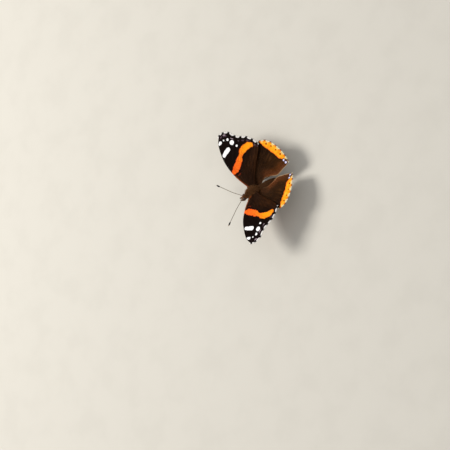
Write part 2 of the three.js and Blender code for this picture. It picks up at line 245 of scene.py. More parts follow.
tuft = {
    "ringAngles": (90, 210, 330),
    "rootWidth": 0.8,        # the root ring as a share of the middle one
    "mapReach": 0.003,       # how wide a tuft lies on the map
    "mapPattern": [(-0.5, -0.5), (0.5, -0.5), (0, -0.4), (-0.4, 0.1), (0.4, 0.1), (0, 0.2), (0, 0.5)],
}


def growTufts(roots, ups, ways, lengths, widths, flatness, lift, curl):
    # Each tuft is a thin three-sided blade: a ring at the root, a ring near the middle, and a tip
    ways = unit(ways)
    across = unit(np.cross(ways, ups))
    ups = np.cross(across, ways)
    lengths, widths = lengths[:, None], widths[:, None]
    middle = roots + ways * lengths * 0.5 + ups * lengths * lift * 0.5
    tip = roots + ways * lengths + ups * lengths * (lift - curl)
    rings = []
    for centre, scale in ((roots, tuft["rootWidth"]), (middle, 1.0)):
        for angle in tuft["ringAngles"]:
            out = across * widths * math.cos(math.radians(angle)) * scale / 2
            up = ups * widths * flatness * math.sin(math.radians(angle)) * scale / 2
            rings.append(centre + out + up)
    vertices = np.stack(rings + [tip], axis=1).reshape(-1, 3)
    pattern = [(0, 2, 1)]
    for side in range(3):
        after = (side + 1) % 3
        pattern += [(side, after, 3 + after), (side, 3 + after, 3 + side), (3 + side, 3 + after, 6)]
    firstCorners = np.arange(len(roots))[:, None, None] * len(tuft["mapPattern"])
    return vertices, (firstCorners + np.array(pattern)).reshape(-1, 3)


def tuftPiece(name, tufts, rootPlaces, rootFields, material, slot):
    vertices, faces = tufts
    piece = meshObject(name, vertices, faces, material, slot)
    count, corners = len(rootPlaces), len(tuft["mapPattern"])
    fields = {field: np.repeat(values, corners) for field, values in rootFields.items()}
    fields["alongTuft"] = np.tile([0, 0, 0, 0.5, 0.5, 0.5, 1.0], count)
    fields["tuftTone"] = np.repeat(chance.random(count), corners)
    keepFields(piece, fields)
    edge = tuft["mapReach"]
    places = np.clip(rootPlaces, edge, 1 - edge)[:, None, :] + np.array(tuft["mapPattern"]) * edge
    keepMap(piece, places.reshape(-1, 2))


# Wings

wing = {
    "outlineStep": 0.2,
    "veinStep": 0.32,
    "veinFeet": (0.11, 0.26),
    "gridStep": 0.34,
    "veinGap": 0.09,         # least distance between points beside the veins
    "gridGap": 0.2,          # and on the membrane
    "edgeGap": 0.08,         # and from the outline
    "marginInset": 0.45,     # the fringe fills this border
    "halfThickness": 0.06,
    "veinRise": 0.085,
    "veinWidth": 0.13,
    "pleat": 0.13,           # sag of the membrane between veins
    "pleatReach": 0.9,
    "ripple": 0.12,
    "rippleWaves": ((0.55, 0.7), (0.48, 1.1)),  # outwards and ahead: how close, and where they start
    "rippleFull": 15,        # how far from the hinge the ripple is full
    "rootStoutness": 1.35,   # veins and membrane are thicker near the hinge
    "tipStoutness": 0.5,
    "stoutReach": 32,
    "costalRim": 0.06,
    "costalRimWidth": 0.25,
    "fringeRows": ((0.055, 0.78, 0.02), (0.065, 0.62, -0.03)),  # step, length and height of each row
    "fringeWidth": (0.075, 0.115),
    "scaleSize": (0.26, 0.14),  # a third larger than the real 0.2 by 0.1 mm, so that scales show close up
    "streakSize": (0.55, 0.22),  # how fine the streaks are round the hinge and outwards
    "mapWidth": 70,          # the plan in mm that half the map holds
    "mapLength": 40,
    "mapBehind": 30,
}

forewing = {
    "name": "Forewing",
    "slot": "forewing_scales",
    "dihedral": math.radians(15),
    "rootOut": 2.8,
    "rootRise": 2.7,
    "rootReach": 5.0,
    "hinge": (1.6, -2.4),
    "costa": [(1.4, -1.6), (9, 2.3), (18.3, 4.7), (27.4, 4.1)],
    "veinEnds": [(32.7, 1.6), (33, -1.1), (31.6, -4.4), (28.4, -6.8), (26.6, -9.7), (25, -12.8),
                 (22.5, -15.3), (19.5, -16.8)],
    "scallops": (0.1, 0.2, 0.4, 0.5, 0.4, 0.4, 0.3),
    "innerMargin": [(17.2, -16.5), (12.6, -13.1), (6, -7.7), (1.4, -4.6)],
    "veins": [
        [(2.4, -0.9), (8, 1.3), (13, 3.1), (17.5, 4.2)],
        [(2.4, -1.5), (10, 0.6), (19, 2.1), (24, 2.3), (28.6, 2.2), (32.2, 1.6)],
        [(10, 0.6), (15.5, 2.7), (21, 4.3)],
        [(14.5, 1.5), (19, 3.2), (24.3, 4.1)],
        [(20.5, 2.2), (25, 3.2), (28.6, 3.4)],
        [(25, 2.3), (29, 0.9), (32.6, -1.1)],
        [(17.4, 1.9), (22, -0.1), (25.6, -1.8), (31.2, -4.2)],
        [(17.3, -0.2), (21, -2.6), (24.3, -4.6), (28.1, -6.6)],
        [(16.2, -2.9), (22.6, -7), (26.3, -9.5)],
        [(15, -3.5), (20, -7.3), (24.7, -12.5)],
        [(11, -3.7), (16, -8.7), (22.2, -15)],
        [(2.4, -2.2), (11, -3.7), (15, -3.5), (17.3, -0.2), (17.4, 1.9)],
        [(2.4, -3.4), (10, -9.1), (19.2, -16.4)],
    ],
    # Markings as chains of blobs: out, ahead, radius
    "markings": {
        "bandDepth": [[(11.7, 2.4, 1.0), (12.6, 0.6, 1.7), (13.7, -0.7, 1.8), (14.9, -2.4, 1.6),
                       (15.9, -3.4, 1.7), (17.2, -4.8, 1.1), (18.1, -5.7, 1.05), (19.2, -7.0, 1.65),
                       (20.0, -8.5, 1.8), (20.3, -10.2, 1.6), (20.4, -11.6, 1.65), (20.0, -12.9, 1.3)]],
        "whiteDepth": [[(21.7, 3.4, 0.9), (22.8, 1.5, 1.1), (23.5, -0.2, 1.15)], [(25.8, -3.65, 1.25)],
                       [(23.1, -5.4, 0.6)], [(28.2, -2.1, 0.72)], [(28.85, 0.15, 0.42)],
                       [(28.0, 3.2, 0.6), (28.5, 2.4, 0.85)]],
        "dashDepth": [[(31.3, -0.7, 0.2), (31.0, -1.9, 0.24)], [(28.1, -4.0, 0.16), (27.1, -5.0, 0.2)],
                      [(25.3, -6.9, 0.12), (24.7, -7.7, 0.16)]],
        "cellDepth": [[(10.0, 0.0, 0.5), (9.4, -2.8, 0.7)]],
        "cellDark": [[(10.3, 0.6, 0.5), (10.7, -0.6, 0.8), (11.6, -1.6, 0.6)]],
        "cellRed": [[(9.5, 0.9, 0.14), (9.55, 0.0, 0.2), (9.65, -1.1, 0.16)]],
    },
    "bandWay": (0.885, 0.46),  # from the band towards the wing tip
    "bandMiddle": (16, -5),
    "scaleLie": math.radians(20),
    "hair": {"count": 8500, "reach": 7.0, "length": (0.6, 1.5), "width": 0.042, "inner": 0.0},
}

hindwing = {
    "name": "Hindwing",
    "slot": "hindwing_scales",
    "dihedral": math.radians(13.2),
    "rootOut": 2.3,
    "rootAhead": -6.0,
    "rootDrop": 1.2,
    "rootRise": 3.1,
    "rootReach": 6.0,
    "innerFold": 0.7,
    "innerFoldReach": 3.4,
    "hinge": (1.4, -5.6),
    "costa": [(1.6, -3.9), (4.2, -4.6), (8, -7.3), (13, -11.2), (18.4, -15.4)],
    "veinEnds": [(20.3, -18), (19.3, -21), (16.9, -23.6), (14, -25.5), (10.7, -27), (7.2, -28), (4.2, -28.4)],
    "scallops": (0.3, 0.4, 0.4, 0.4, 0.4, 0.35),
    "innerMargin": [(2.8, -27), (1.8, -24), (1.1, -21.6), (0.5, -18.9), (1.4, -16.4), (2, -14.4),
                    (2.5, -11.3), (1.3, -8.4)],
    "veins": [
        [(2, -5.4), (9, -8.6), (18.3, -15.8)],
        [(2, -5.9), (5.6, -7.7), (12, -11.9), (20.1, -18)],
        [(8.2, -10.9), (13, -14.8), (19.1, -20.8)],
        [(9, -12.9), (13, -17.7), (16.8, -23.3)],
        [(8.2, -15.1), (11.3, -20.2), (13.9, -25.2)],
        [(7, -15), (9.2, -21.2), (10.7, -26.7)],
        [(5.2, -12.6), (6.6, -20.2), (7.2, -27.7)],
        [(5.6, -7.7), (8.2, -10.9), (9, -12.9), (8.2, -15.1), (7, -15), (5.2, -12.6), (2, -7)],
        [(2, -7.6), (3.6, -15), (4.2, -22), (4.2, -28.1)],
    ],
    "markings": {
        "bandDepth": [[(19.4, -18.4, 0.9), (17.6, -20.3, 2.1), (15.4, -22.3, 2.5), (12.2, -24.2, 2.5),
                       (9.0, -25.7, 2.5), (6.9, -26.7, 1.7), (6.0, -27.5, 0.9)]],
        "darkDepth": [[(17.0, -20.6, 0.42)], [(14.7, -22.6, 0.34)], [(11.8, -24.2, 0.34)],
                      [(8.8, -25.5, 0.42)]],
        "blueDepth": [[(5.35, -25.8, 0.5)], [(3.7, -26.5, 0.62)]],
    },
    "scaleLie": math.radians(55),
    "hair": {"count": 15000, "reach": 9.0, "length": (0.7, 1.7), "width": 0.042, "inner": 1.7},
}


def forewingHeight(points):
    beyond = points[:, 0] - forewing["rootOut"]
    climb = forewing["rootRise"] * (1 - np.exp(-np.maximum(beyond, 0) / forewing["rootReach"]))
    return climb + math.tan(forewing["dihedral"]) * beyond


def hindwingHeight(points):
    out, ahead = points[:, 0], points[:, 1]
    away = np.hypot(out - hindwing["rootOut"], np.minimum(ahead - hindwing["rootAhead"], 0))
    climb = hindwing["rootRise"] * (1 - np.exp(-away / hindwing["rootReach"]))
    fold = hindwing["innerFold"] * np.exp(-((out - 1) / hindwing["innerFoldReach"]) ** 2)
    rise = math.tan(hindwing["dihedral"]) * (out - hindwing["rootOut"])
    return climb - hindwing["rootDrop"] - fold + rise


def marginEnds(form, inset):
    # Where the veins end on the outer margin, drawn in towards the hinge
    ends = np.array(form["veinEnds"], float)
    return ends + inset * unit(np.array(form["hinge"]) - ends)


def wingLines(form, inset):
    # Costa, scalloped outer margin drawn in by inset, and inner margin, each as a line in plan
    ends = marginEnds(form, inset)
    costa = splineThrough(list(map(tuple, form["costa"])) + [tuple(ends[0])], wing["outlineStep"])
    outer = [ends[:1]]
    for depth, start, end in zip(form["scallops"], ends, ends[1:]):
        along = end - start
        across = np.array([along[1], -along[0]]) / np.linalg.norm(along)
        count = max(3, int(round(np.linalg.norm(along) / wing["outlineStep"])))
        share = np.linspace(0, 1, count + 1)[1:, None]
        outer.append(start + along * share + across * depth * np.sin(math.pi * share))
    inner = splineThrough([tuple(ends[-1])] + form["innerMargin"], wing["outlineStep"])
    return costa, np.vstack(outer), inner


def wingMeshPlan(form):
    costa, outer, inner = wingLines(form, wing["marginInset"])
    outline = np.vstack([costa, outer[1:], inner[1:]])
    veins = [splineThrough(vein, wing["veinStep"]) for vein in form["veins"]]
    wanted = [np.vstack(veins)]
    for foot in wing["veinFeet"]:
        for vein in veins:
            along = np.gradient(vein, axis=0)
            across = unit(np.column_stack([-along[:, 1], along[:, 0]]))
            wanted += [vein + foot * across, vein - foot * across]
    low, high = outline.min(0), outline.max(0)
    rowStep = wing["gridStep"] * math.sin(math.pi / 3)
    rows = []
    for row, ahead in enumerate(np.arange(low[1], high[1], rowStep)):
        places = np.arange(low[0] + (row % 2) * wing["gridStep"] / 2, high[0], wing["gridStep"])
        rows.append(np.column_stack([places, np.full(len(places), ahead)]))
    points = [tuple(point) for point in outline]
    closed = np.vstack([outline, outline[:1]])
    cells = {}
    cellSize = 0.25

    def crowded(point, distance):
        column, row = int(point[0] // cellSize), int(point[1] // cellSize)
        for i in range(column - 1, column + 2):
            for j in range(row - 1, row + 2):
                for other in cells.get((i, j), ()):
                    if math.hypot(other[0] - point[0], other[1] - point[1]) < distance:
                        return True
        return False

    def keep(point):
        cells.setdefault((int(point[0] // cellSize), int(point[1] // cellSize)), []).append(point)

    for point in points:
        keep(point)
    for lines, distance in ((wanted, wing["veinGap"]), (rows, wing["gridGap"])):
        group = np.vstack(lines)
        group = group[insideOutline(group, outline)]
        group = group[distanceToLine(group, closed) > wing["edgeGap"]]
        for point in map(tuple, group):
            if not crowded(point, distance):
                points.append(point)
                keep(point)
    edges = [(i, (i + 1) % len(outline)) for i in range(len(outline))]
    result = geometry.delaunay_2d_cdt([Vector(point) for point in points], edges, [], 1, 1e-5)
    plan = np.array([tuple(v) for v in result[0]])
    triangles = [tuple(face) for face in result[2]]
    return plan, triangles, (costa, outer, inner), veins


def surfaceUps(points, heightAt, step=0.05):
    slopeX = (heightAt(points + [step, 0]) - heightAt(points - [step, 0])) / (2 * step)
    slopeY = (heightAt(points + [0, step]) - heightAt(points - [0, step])) / (2 * step)
    return unit(np.column_stack([-slopeX, -slopeY, np.ones(len(points))]))


def wingPlace(points, upper=True):
    # The wing's own plan laid on the map: upper side on the left half, underside on the right
    across = points[:, 0] / wing["mapWidth"]
    if not upper:
        across = 1 - across
    along = (points[:, 1] + wing["mapBehind"]) / wing["mapLength"]
    return np.column_stack([0.01 + across * 0.98, 0.05 + along * 0.9])


def wingFields(form, points):
    # What the markings are laid out by, for each point in plan
    costa, outer, inner = form["lines"]
    away = points - form["hinge"]
    fields = {
        "veinDistance": np.min([distanceToLine(points, vein) for vein in form["veinLines"]], axis=0),
        "marginDistance": distanceToLine(points, outer),
        "costaDistance": distanceToLine(points, costa),
        "innerDistance": distanceToLine(points, inner),
        "hingeDistance": np.linalg.norm(away, axis=1),
        "hingeAngle": np.degrees(np.arctan2(away[:, 1], away[:, 0])),
        "planOut": points[:, 0],
        "planAhead": points[:, 1],
    }
    for field, chains in form["markings"].items():
        fields[field] = np.max([depthInChain(points, chain) for chain in chains], axis=0)
    if "bandWay" in form:
        fields["apexward"] = (points - form["bandMiddle"]) @ np.array(form["bandWay"])
    return fields


def wingSheet(form, points, fields, side):
    # The wing's middle surface, sagging between the veins and gently rippled, and half its thickness
    nearMargin = np.minimum(fields["marginDistance"], np.minimum(fields["costaDistance"] * 3, 9)) / 3
    fade = np.clip(fields["hingeDistance"] / 6, 0, 1) * np.clip(nearMargin, 0.15, 1)
    sag = wing["pleat"] * fade * (1 - np.exp(-(fields["veinDistance"] / wing["pleatReach"]) ** 2))
    ripple = wing["ripple"] * np.clip(fields["hingeDistance"] / wing["rippleFull"], 0, 1)
    for along, (closeness, start) in zip(points.T, wing["rippleWaves"]):
        ripple = ripple * np.sin(along * closeness + side * start)
    stout = wing["rootStoutness"] - fields["hingeDistance"] / wing["stoutReach"]
    stout = np.clip(stout, wing["tipStoutness"], wing["rootStoutness"])
    rise = wing["veinRise"] * stout * np.exp(-(fields["veinDistance"] / (wing["veinWidth"] * stout)) ** 2)
    costalRim = wing["costalRim"] * np.exp(-(fields["costaDistance"] / wing["costalRimWidth"]) ** 2) * stout
    half = wing["halfThickness"] * stout + rise + costalRim
    return np.column_stack([points, form["heightAt"](points) - sag + ripple]), half[:, None]


def buildWing(form, sideName, side, material):
    plan, triangles, count = form["plan"], form["triangles"], len(form["plan"])
    fields = wingFields(form, plan)
    middle, half = wingSheet(form, plan, fields, side)
    ups = surfaceUps(plan, form["heightAt"])
    rim = {}
    for triangle in triangles:
        for a, b in zip(triangle, triangle[1:] + triangle[:1]):
            if (b, a) in rim:
                del rim[(b, a)]
            else:
                rim[(a, b)] = True
    faces = list(triangles) + [(a + count, c + count, b + count) for a, b, c in triangles]
    faces += [(a, a + count, b) for a, b in rim] + [(b, a + count, b + count) for a, b in rim]
    if side < 0:
        faces = [(a, c, b) for a, b, c in faces]
    vertices = np.vstack([middle + ups * half, middle - ups * half]) * [side, 1, 1]
    piece = meshObject(form["name"] + sideName, vertices, faces, material, form["slot"],
                       form["name"].lower() + "_" + sideName.lower())
    both = {field: np.tile(values, 2) for field, values in fields.items()}
    both["upperSide"] = np.repeat([1.0, 0.0], count)
    keepFields(piece, both)
    keepMap(piece, np.vstack([wingPlace(plan), wingPlace(plan, upper=False)]))


def buildFringe(form, sideName, side, material):
    # Flat scales stand out from the outer margin in two rows: long between the veins, short at their ends
    costa, outer, inner = form["lines"]
    heightAt = form["heightAt"]
    edge = np.vstack([costa[-8:], outer[1:], inner[1:6]])
    ends = marginEnds(form, wing["marginInset"])
    rows = []
    for step, length, level in wing["fringeRows"]:
        line = spacedAlong(edge, step)
        along = np.gradient(line, axis=0)
        outward = unit(np.column_stack([-along[:, 1], along[:, 0]]))
        toEnd = np.min(np.linalg.norm(line[:, None] - ends[None], axis=2), axis=1)
        between = np.clip(toEnd / 0.9, 0, 1)
        turned = outward + chance.normal(0, 0.16, len(line))[:, None] * unit(along)
        lengths = length * (0.72 + 0.42 * between) * chance.uniform(0.82, 1.12, len(line))
        rows.append((line - outward * 0.08, turned, lengths, between, np.full(len(line), level)))
    roots, turned, lengths, between, level = (np.concatenate(parts) for parts in zip(*rows))
    ups = surfaceUps(roots, heightAt)
    base = wingSheet(form, roots, wingFields(form, roots), side)[0] + ups * level[:, None]
    ahead = roots + turned * 0.1
    ways = np.column_stack([ahead, heightAt(ahead)]) - np.column_stack([roots, heightAt(roots)])
    flip = np.array([side, 1, 1])
    tufts = growTufts(base * flip, ups * flip, ways * flip, lengths,
                      chance.uniform(*wing["fringeWidth"], len(roots)), 0.35, 0.0, 0.05)
    fields = {"betweenVeins": between, "planOut": roots[:, 0], "planAhead": roots[:, 1]}
    tuftPiece(form["name"] + "Fringe" + sideName, tufts, wingPlace(roots), fields, material, form["slot"])


wingHair = {
    "tries": 12,             # places drawn for each tuft
    "spread": 2.4,           # how many times its reach from the hinge they are drawn
    "edgeGap": 0.7,
    "innerGap": 0.35,
    "markingGaps": {"bandDepth": 1.5, "blueDepth": 0.9},
    "stray": 0.13,
    "step": 0.5,             # how far on each tuft looks for the slope of the wing
}


def buildWingHair(form, sideName, side, material):
    # Long hair-like scales grow outwards over the wing's root and its inner part, thinning outwards
    costa, outer, inner = form["lines"]
    hair = form["hair"]
    hinge = np.array(form["hinge"])
    farOut, farBack = hinge + np.array([1, -1]) * wingHair["spread"] * hair["reach"]
    low, high = form["plan"].min(0), form["plan"].max(0)
    low, high = np.maximum(low, [0, farBack]), np.minimum(high, [farOut, high[1]])
    picks = chance.uniform(low, high, (hair["count"] * wingHair["tries"], 2))
    away = np.linalg.norm(picks - hinge, axis=1)
    innerAway = distanceToLine(picks, inner)
    edgeAway = np.minimum(distanceToLine(picks, costa), distanceToLine(picks, outer))
    density = np.exp(-(away / hair["reach"]) ** 2)
    if hair["inner"]:
        density = np.maximum(density, 0.8 * np.exp(-(innerAway / hair["inner"]) ** 2))
    inside = insideOutline(picks, np.vstack([costa, outer[1:], inner[1:]]))
    inside &= (edgeAway > wingHair["edgeGap"]) & (innerAway > wingHair["innerGap"])
    for marking, gap in wingHair["markingGaps"].items():
        for chain in form["markings"].get(marking, ()):
            inside &= depthInChain(picks, chain) < -gap
    keep = inside & (chance.random(len(picks)) < density)
    picks, away, innerAway, density = (values[keep][:hair["count"]]
                                       for values in (picks, away, innerAway, density))
    outwards = (picks - hinge) / np.maximum(away, 0.5)[:, None]
    outwards += chance.normal(0, wingHair["stray"], outwards.shape)
    ups = surfaceUps(picks, form["heightAt"])
    fields = wingFields(form, picks)
    middle, half = wingSheet(form, picks, fields, side)
    step = picks + outwards * wingHair["step"]
    ways = wingSheet(form, step, wingFields(form, step), side)[0] - middle
    lengths = chance.uniform(*hair["length"], len(picks)) * (0.55 + 0.45 * density)
    lengths *= np.clip(innerAway / 1.4, 0.3, 1)
    flip = np.array([side, 1, 1])
    tufts = growTufts((middle + ups * (half - 0.01)) * flip, ups * flip, ways * flip, lengths,
                      hair["width"] * chance.uniform(0.7, 1.3, len(picks)), 0.7, 0.1, 0.08)
    wanted = ("planOut", "planAhead", "hingeDistance", "hingeAngle", "costaDistance", "innerDistance",
              "apexward", "cellDark", "cellRed")
    fields = {field: fields[field] for field in wanted if field in fields}
    tuftPiece(form["name"] + "Hair" + sideName, tufts, wingPlace(picks), fields, material, form["slot"])


# Wing materials


def wingNoises(tree, place, lie):
    # Streaks follow the lie of the scales from the hinge, and specks are the single scales
    plan = addNode(tree, "ShaderNodeCombineXYZ", {0: "planOut", 1: "planAhead"}).outputs[0]
    turned = addNode(tree, "ShaderNodeVectorRotate", {"Vector": plan, "Angle": lie},
                     rotation_type="Z_AXIS").outputs[0]
    length, width = wing["scaleSize"]
    tiles = addNode(tree, "ShaderNodeVectorMath", {0: turned, 1: (1 / length, 1 / width, 1)},
                    operation="MULTIPLY").outputs[0]
    around, along = (addNode(tree, "ShaderNodeMath", {0: field, 1: fineness}, operation="MULTIPLY").outputs[0]
                     for field, fineness in zip(("hingeAngle", "hingeDistance"), wing["streakSize"]))
    fan = addNode(tree, "ShaderNodeCombineXYZ", {0: around, 1: along}).outputs[0]
    streaks = noiseAbout(tree, fan, 1.0, 5.0)
    ragged = noiseAbout(tree, place, scaleFor(0.53))
    bumps = noiseAbout(tree, place, scaleFor(1.2), 4.0)
    patches = noiseAbout(tree, place, scaleFor(3.8), 3.0)
    specks = addNode(tree, "ShaderNodeTexVoronoi", {"Vector": tiles, "Scale": 1.0, "Randomness": 0.7})
    return streaks, ragged, bumps, patches, specks


def finishScales(material, colour, specks, streaks):
    # Each scale is a little lighter or darker than the next, and the surface is velvety with fine relief.
    # The ridges of each scale trap light, so almost no gloss is left
    tree = material.node_tree
    tone = addNode(tree, "ShaderNodeSeparateColor", {0: specks.outputs["Color"]}).outputs[0]
    value = addNode(tree, "ShaderNodeMapRange", {"Value": tone, "To Min": 0.8, "To Max": 1.2}).outputs[0]
    shaded = addNode(tree, "ShaderNodeHueSaturation", {"Value": value, "Color": colour}).outputs[0]
    height = addNode(tree, "ShaderNodeMath", {0: streaks, 1: 0.8, 2: specks.outputs["Distance"]},
                     operation="MULTIPLY_ADD").outputs[0]
    settings = {"Roughness": 0.62, "IOR": 1.55, "Specular IOR Level": 0.01}
    return joinSurface(material, shaded, settings, height, 0.35, 0.06)


def forewingGround(tree, streaks, ragged, patches):
    # Dark brown near the body, nearly black beyond the band, with paler streaks and a rusty front edge.
    # Beside the front end of the band the cell is blackish, with a thin red streak
    upper = paint(
        tree, "#2B170A",
        ("#4E2D14", streaks, -0.02, 0.28, 0.75),
        ("#190D06", streaks, 0.0, -0.25, 0.8),
        ("#160C07", "apexward", -6.0, -1.0, 0.7, patches, 4.0),
        ("#120A07", "apexward", -2.5, 0.5, 1.0, patches, 3.0),
        ("#100907", "cellDark", -0.35, 0.15, 0.8, ragged, 1.2),
        ("#A83616", "cellRed", -0.08, 0.08, 0.75, ragged, 0.35))
    return paint(
        tree, upper,
        ("#84401C", "costaDistance", 1.0, 0.2, 0.9, ragged, 0.5),
        (upper, "apexward", -2.5, 3.0))


def hindwingGround(tree, streaks, ragged, patches):
    # Brown, darker outwards, reddish along the inner margin away from the hinge
    upper = paint(
        tree, "#1F1108",
        ("#341E0C", "planOut", 16.0, 7.0, 1.0, patches, 6.0),
        ("#573417", streaks, 0.0, 0.3, 0.7),
        ("#180D06", streaks, -0.02, -0.25, 0.8))
    reddish = paint(tree, upper, ("#6E3B18", "innerDistance", 4.6, 0.8, 0.8, streaks, 4.5))
    upper = paint(tree, upper, (reddish, "hingeDistance", 4.0, 9.0, 1.0, streaks, 5.0, 0.15))
    edged = paint(tree, upper, ("#CDAE84", "innerDistance", 0.3, 0.16, 0.85, ragged, 0.35))
    return paint(tree, upper, (edged, "hingeDistance", 9.0, 14.0, 1.0, None, 0.0, 0.15))


def forewingScales():
    # Chitin scales laid like tiles: velvety, nearly black beyond the orange-red band
    material, tree, place = newMaterial("chitinForewingScales")
    streaks, ragged, bumps, patches, specks = wingNoises(tree, place, forewing["scaleLie"])
    upper = forewingGround(tree, streaks, ragged, patches)
    # Faint violet-grey marks run inside the outer margin, broken at the veins
    lilac = paint(
        tree, upper,
        ("#6B5560", "marginDistance", 2.1, 1.5, 0.55, ragged, 1.0),
        (upper, "marginDistance", 1.2, 0.7, 1.0, ragged, 0.6),
        (upper, "veinDistance", 0.6, 0.2))
    upper = paint(
        tree, upper,
        (lilac, patches, -0.04, 0.08),
        ("#0E0807", "marginDistance", 0.6, 0.2, 1.0, ragged, 0.3))
    dash = paint(tree, upper, ("#E9E1D8", "marginDistance", 0.32, 0.14, 1.0, ragged, 0.3))
    amber = paint(
        tree, "#EC661C",
        ("#F09616", "planAhead", -1.0, -10.0, 1.0, patches, 6.0),
        ("#DE4C18", patches, 0.06, 0.3, 0.45),
        ("#D8441A", "bandDepth", 0.45, 0.05, 0.6, ragged, 0.6),
        ("#C8401A", "veinDistance", 0.16, 0.05, 0.5))
    upper = paint(
        tree, upper,
        (dash, "veinDistance", 0.6, 0.95, 1.0, ragged, 0.5),
        ("#C4ACB4", "dashDepth", -0.08, 0.1, 0.75, ragged, 0.5),
        ("#0E0807", "bandDepth", -0.9, -0.2, 0.8, ragged, 0.7),
        (amber, "bandDepth", -0.08, 0.1, 1.0, bumps, 1.3),
        ("#0B0808", "whiteDepth", -0.6, -0.1, 0.7, ragged, 0.5),
        ("#F7F3EE", "whiteDepth", -0.06, 0.1, 1.0, ragged, 0.55))

    # Underneath the band is rosier, the tip marbled grey-brown, and the cell holds a blue mark
    marbled = paint(
        tree, "#2B2020",
        ("#6A5648", patches, -0.12, 0.2),
        ("#A08E7A", streaks, 0.08, 0.3, 0.6, ragged, 0.4))
    dark = paint(tree, "#1A1214", ("#3A2A26", streaks, 0.0, 0.3))
    rose = paint(tree, "#D8533E", ("#EE9A4A", "planAhead", -3.0, -11.0))
    under = paint(
        tree, dark,
        (marbled, "apexward", 7.5, 9.5, 1.0, patches, 6.0),
        ("#6E7FA6", "cellDepth", -0.1, 0.2, 1.0, ragged, 0.9),
        ("#B9AC98", "veinDistance", 0.14, 0.05, 0.45),
        (rose, "bandDepth", -0.08, 0.1, 1.0, bumps, 1.3),
        ("#F0EBE2", "whiteDepth", -0.06, 0.1, 1.0, ragged, 0.6),
        ("#8F8069", "marginDistance", 0.5, 0.2, 1.0, ragged, 0.3),
        ("#6E3C20", "costaDistance", 0.4, 0.1, 1.0, ragged, 0.3))
    return finishScales(material, paint(tree, under, (upper, "upperSide", 0.4, 0.6)), specks, streaks)


def hindwingScales():
    # Chitin scales, browner than on the forewing, with an amber border that carries four dark spots
    material, tree, place = newMaterial("chitinHindwingScales")
    streaks, ragged, bumps, patches, specks = wingNoises(tree, place, hindwing["scaleLie"])
    amber = paint(
        tree, "#F4A11C",
        ("#E88A17", patches, 0.0, 0.22),
        ("#F9B836", patches, -0.03, -0.25, 0.8),
        ("#F2681C", "bandDepth", 0.95, 0.1, 0.85, ragged, 0.8))
    edge = paint(
        tree, amber,
        ("#E8721C", "marginDistance", 0.75, 0.3, 0.8, ragged, 0.4),
        ("#FBD56A", "veinDistance", 0.5, 1.3, 0.75, ragged, 0.5))
    amber = paint(
        tree, amber,
        (edge, "marginDistance", 1.1, 0.5),
        ("#D8761A", "veinDistance", 0.15, 0.04, 0.6))
    upper = paint(
        tree, hindwingGround(tree, streaks, ragged, patches),
        ("#0E0706", "bandDepth", -0.9, -0.2, 0.75, ragged, 0.6),
        (amber, "bandDepth", -0.08, 0.1, 1.0, bumps, 1.0),
        ("#E25A14", "darkDepth", -0.35, -0.1, 0.6, ragged, 0.4),
        ("#6E1206", "darkDepth", -0.05, 0.12, 1.0, ragged, 0.35),
        ("#120A0B", "blueDepth", -0.45, -0.2, 1.0, bumps, 1.2),
        ("#D3CCE6", "blueDepth", -0.12, 0.12, 1.0, bumps, 1.1))

    # The underside is marbled in greys and browns
    marble = addNode(tree, "ShaderNodeTexNoise", {"Vector": place, "Scale": scaleFor(2.4), "Detail": 5.0,
                                                  "Distortion": 1.6}).outputs["Fac"]
    under = paint(
        tree, "#3A2C26",
        ("#8A7763", marble, 0.42, 0.6),
        ("#1C1413", marble, 0.42, 0.34),
        ("#B7A893", streaks, 0.12, 0.3, 0.6, ragged, 0.5),
        ("#A9987E", "veinDistance", 0.16, 0.05, 0.5))
    row = paint(
        tree, under,
        ("#2A2530", "marginDistance", 4.6, 4.0, 0.8, ragged, 1.2),
        (under, "marginDistance", 3.0, 2.5, 1.0, ragged, 0.8))
    under = paint(
        tree, under,
        (row, "veinDistance", 0.35, 0.8),
        ("#7C8596", "marginDistance", 1.7, 1.3, 0.5, ragged, 0.9),
        ("#6B5845", "marginDistance", 0.9, 0.5, 1.0, ragged, 0.4))
    return finishScales(material, paint(tree, under, (upper, "upperSide", 0.4, 0.6)), specks, streaks)


def fringeScales(name, pale, dark):
    # Long narrow margin scales: pale between the veins, dark where a vein ends
    material, tree, place = newMaterial(name)
    colour = paint(
        tree, dark,
        (pale, "betweenVeins", 0.5, 0.8, 1.0, noiseAbout(tree, place, scaleFor(0.4)), 0.3),
        (dark, "alongTuft", 0.1, 0.0, 0.5))
    return joinSurface(material, colour, {"Roughness": 0.6, "Sheen Weight": 0.1})


def wingHairFinish(name, ground, form):
    # Hair-like scales in the colours of the wing beneath them, paler towards the tip, with painted shade
    # darkening each root
    material, tree, place = newMaterial(name)
    streaks, ragged, _, patches, _ = wingNoises(tree, place, form["scaleLie"])
    return joinHair(material, ground(tree, streaks, ragged, patches), {
        "pale": (2.4, 0.92), "dark": (0.5, 1.0), "paleTufts": (0.45, 1.0, 0.9), "darkTufts": (0.4, 0.0, 0.7),
        "shadedRootEnd": 0.5, "shadedRootShare": 0.35, "gloss": 0.06})


for form, heightAt in ((forewing, forewingHeight), (hindwing, hindwingHeight)):
    form["heightAt"] = heightAt
    form["plan"], form["triangles"], form["lines"], form["veinLines"] = wingMeshPlan(form)
print("wing plans:", len(forewing["triangles"]), len(hindwing["triangles"]), "triangles a face")

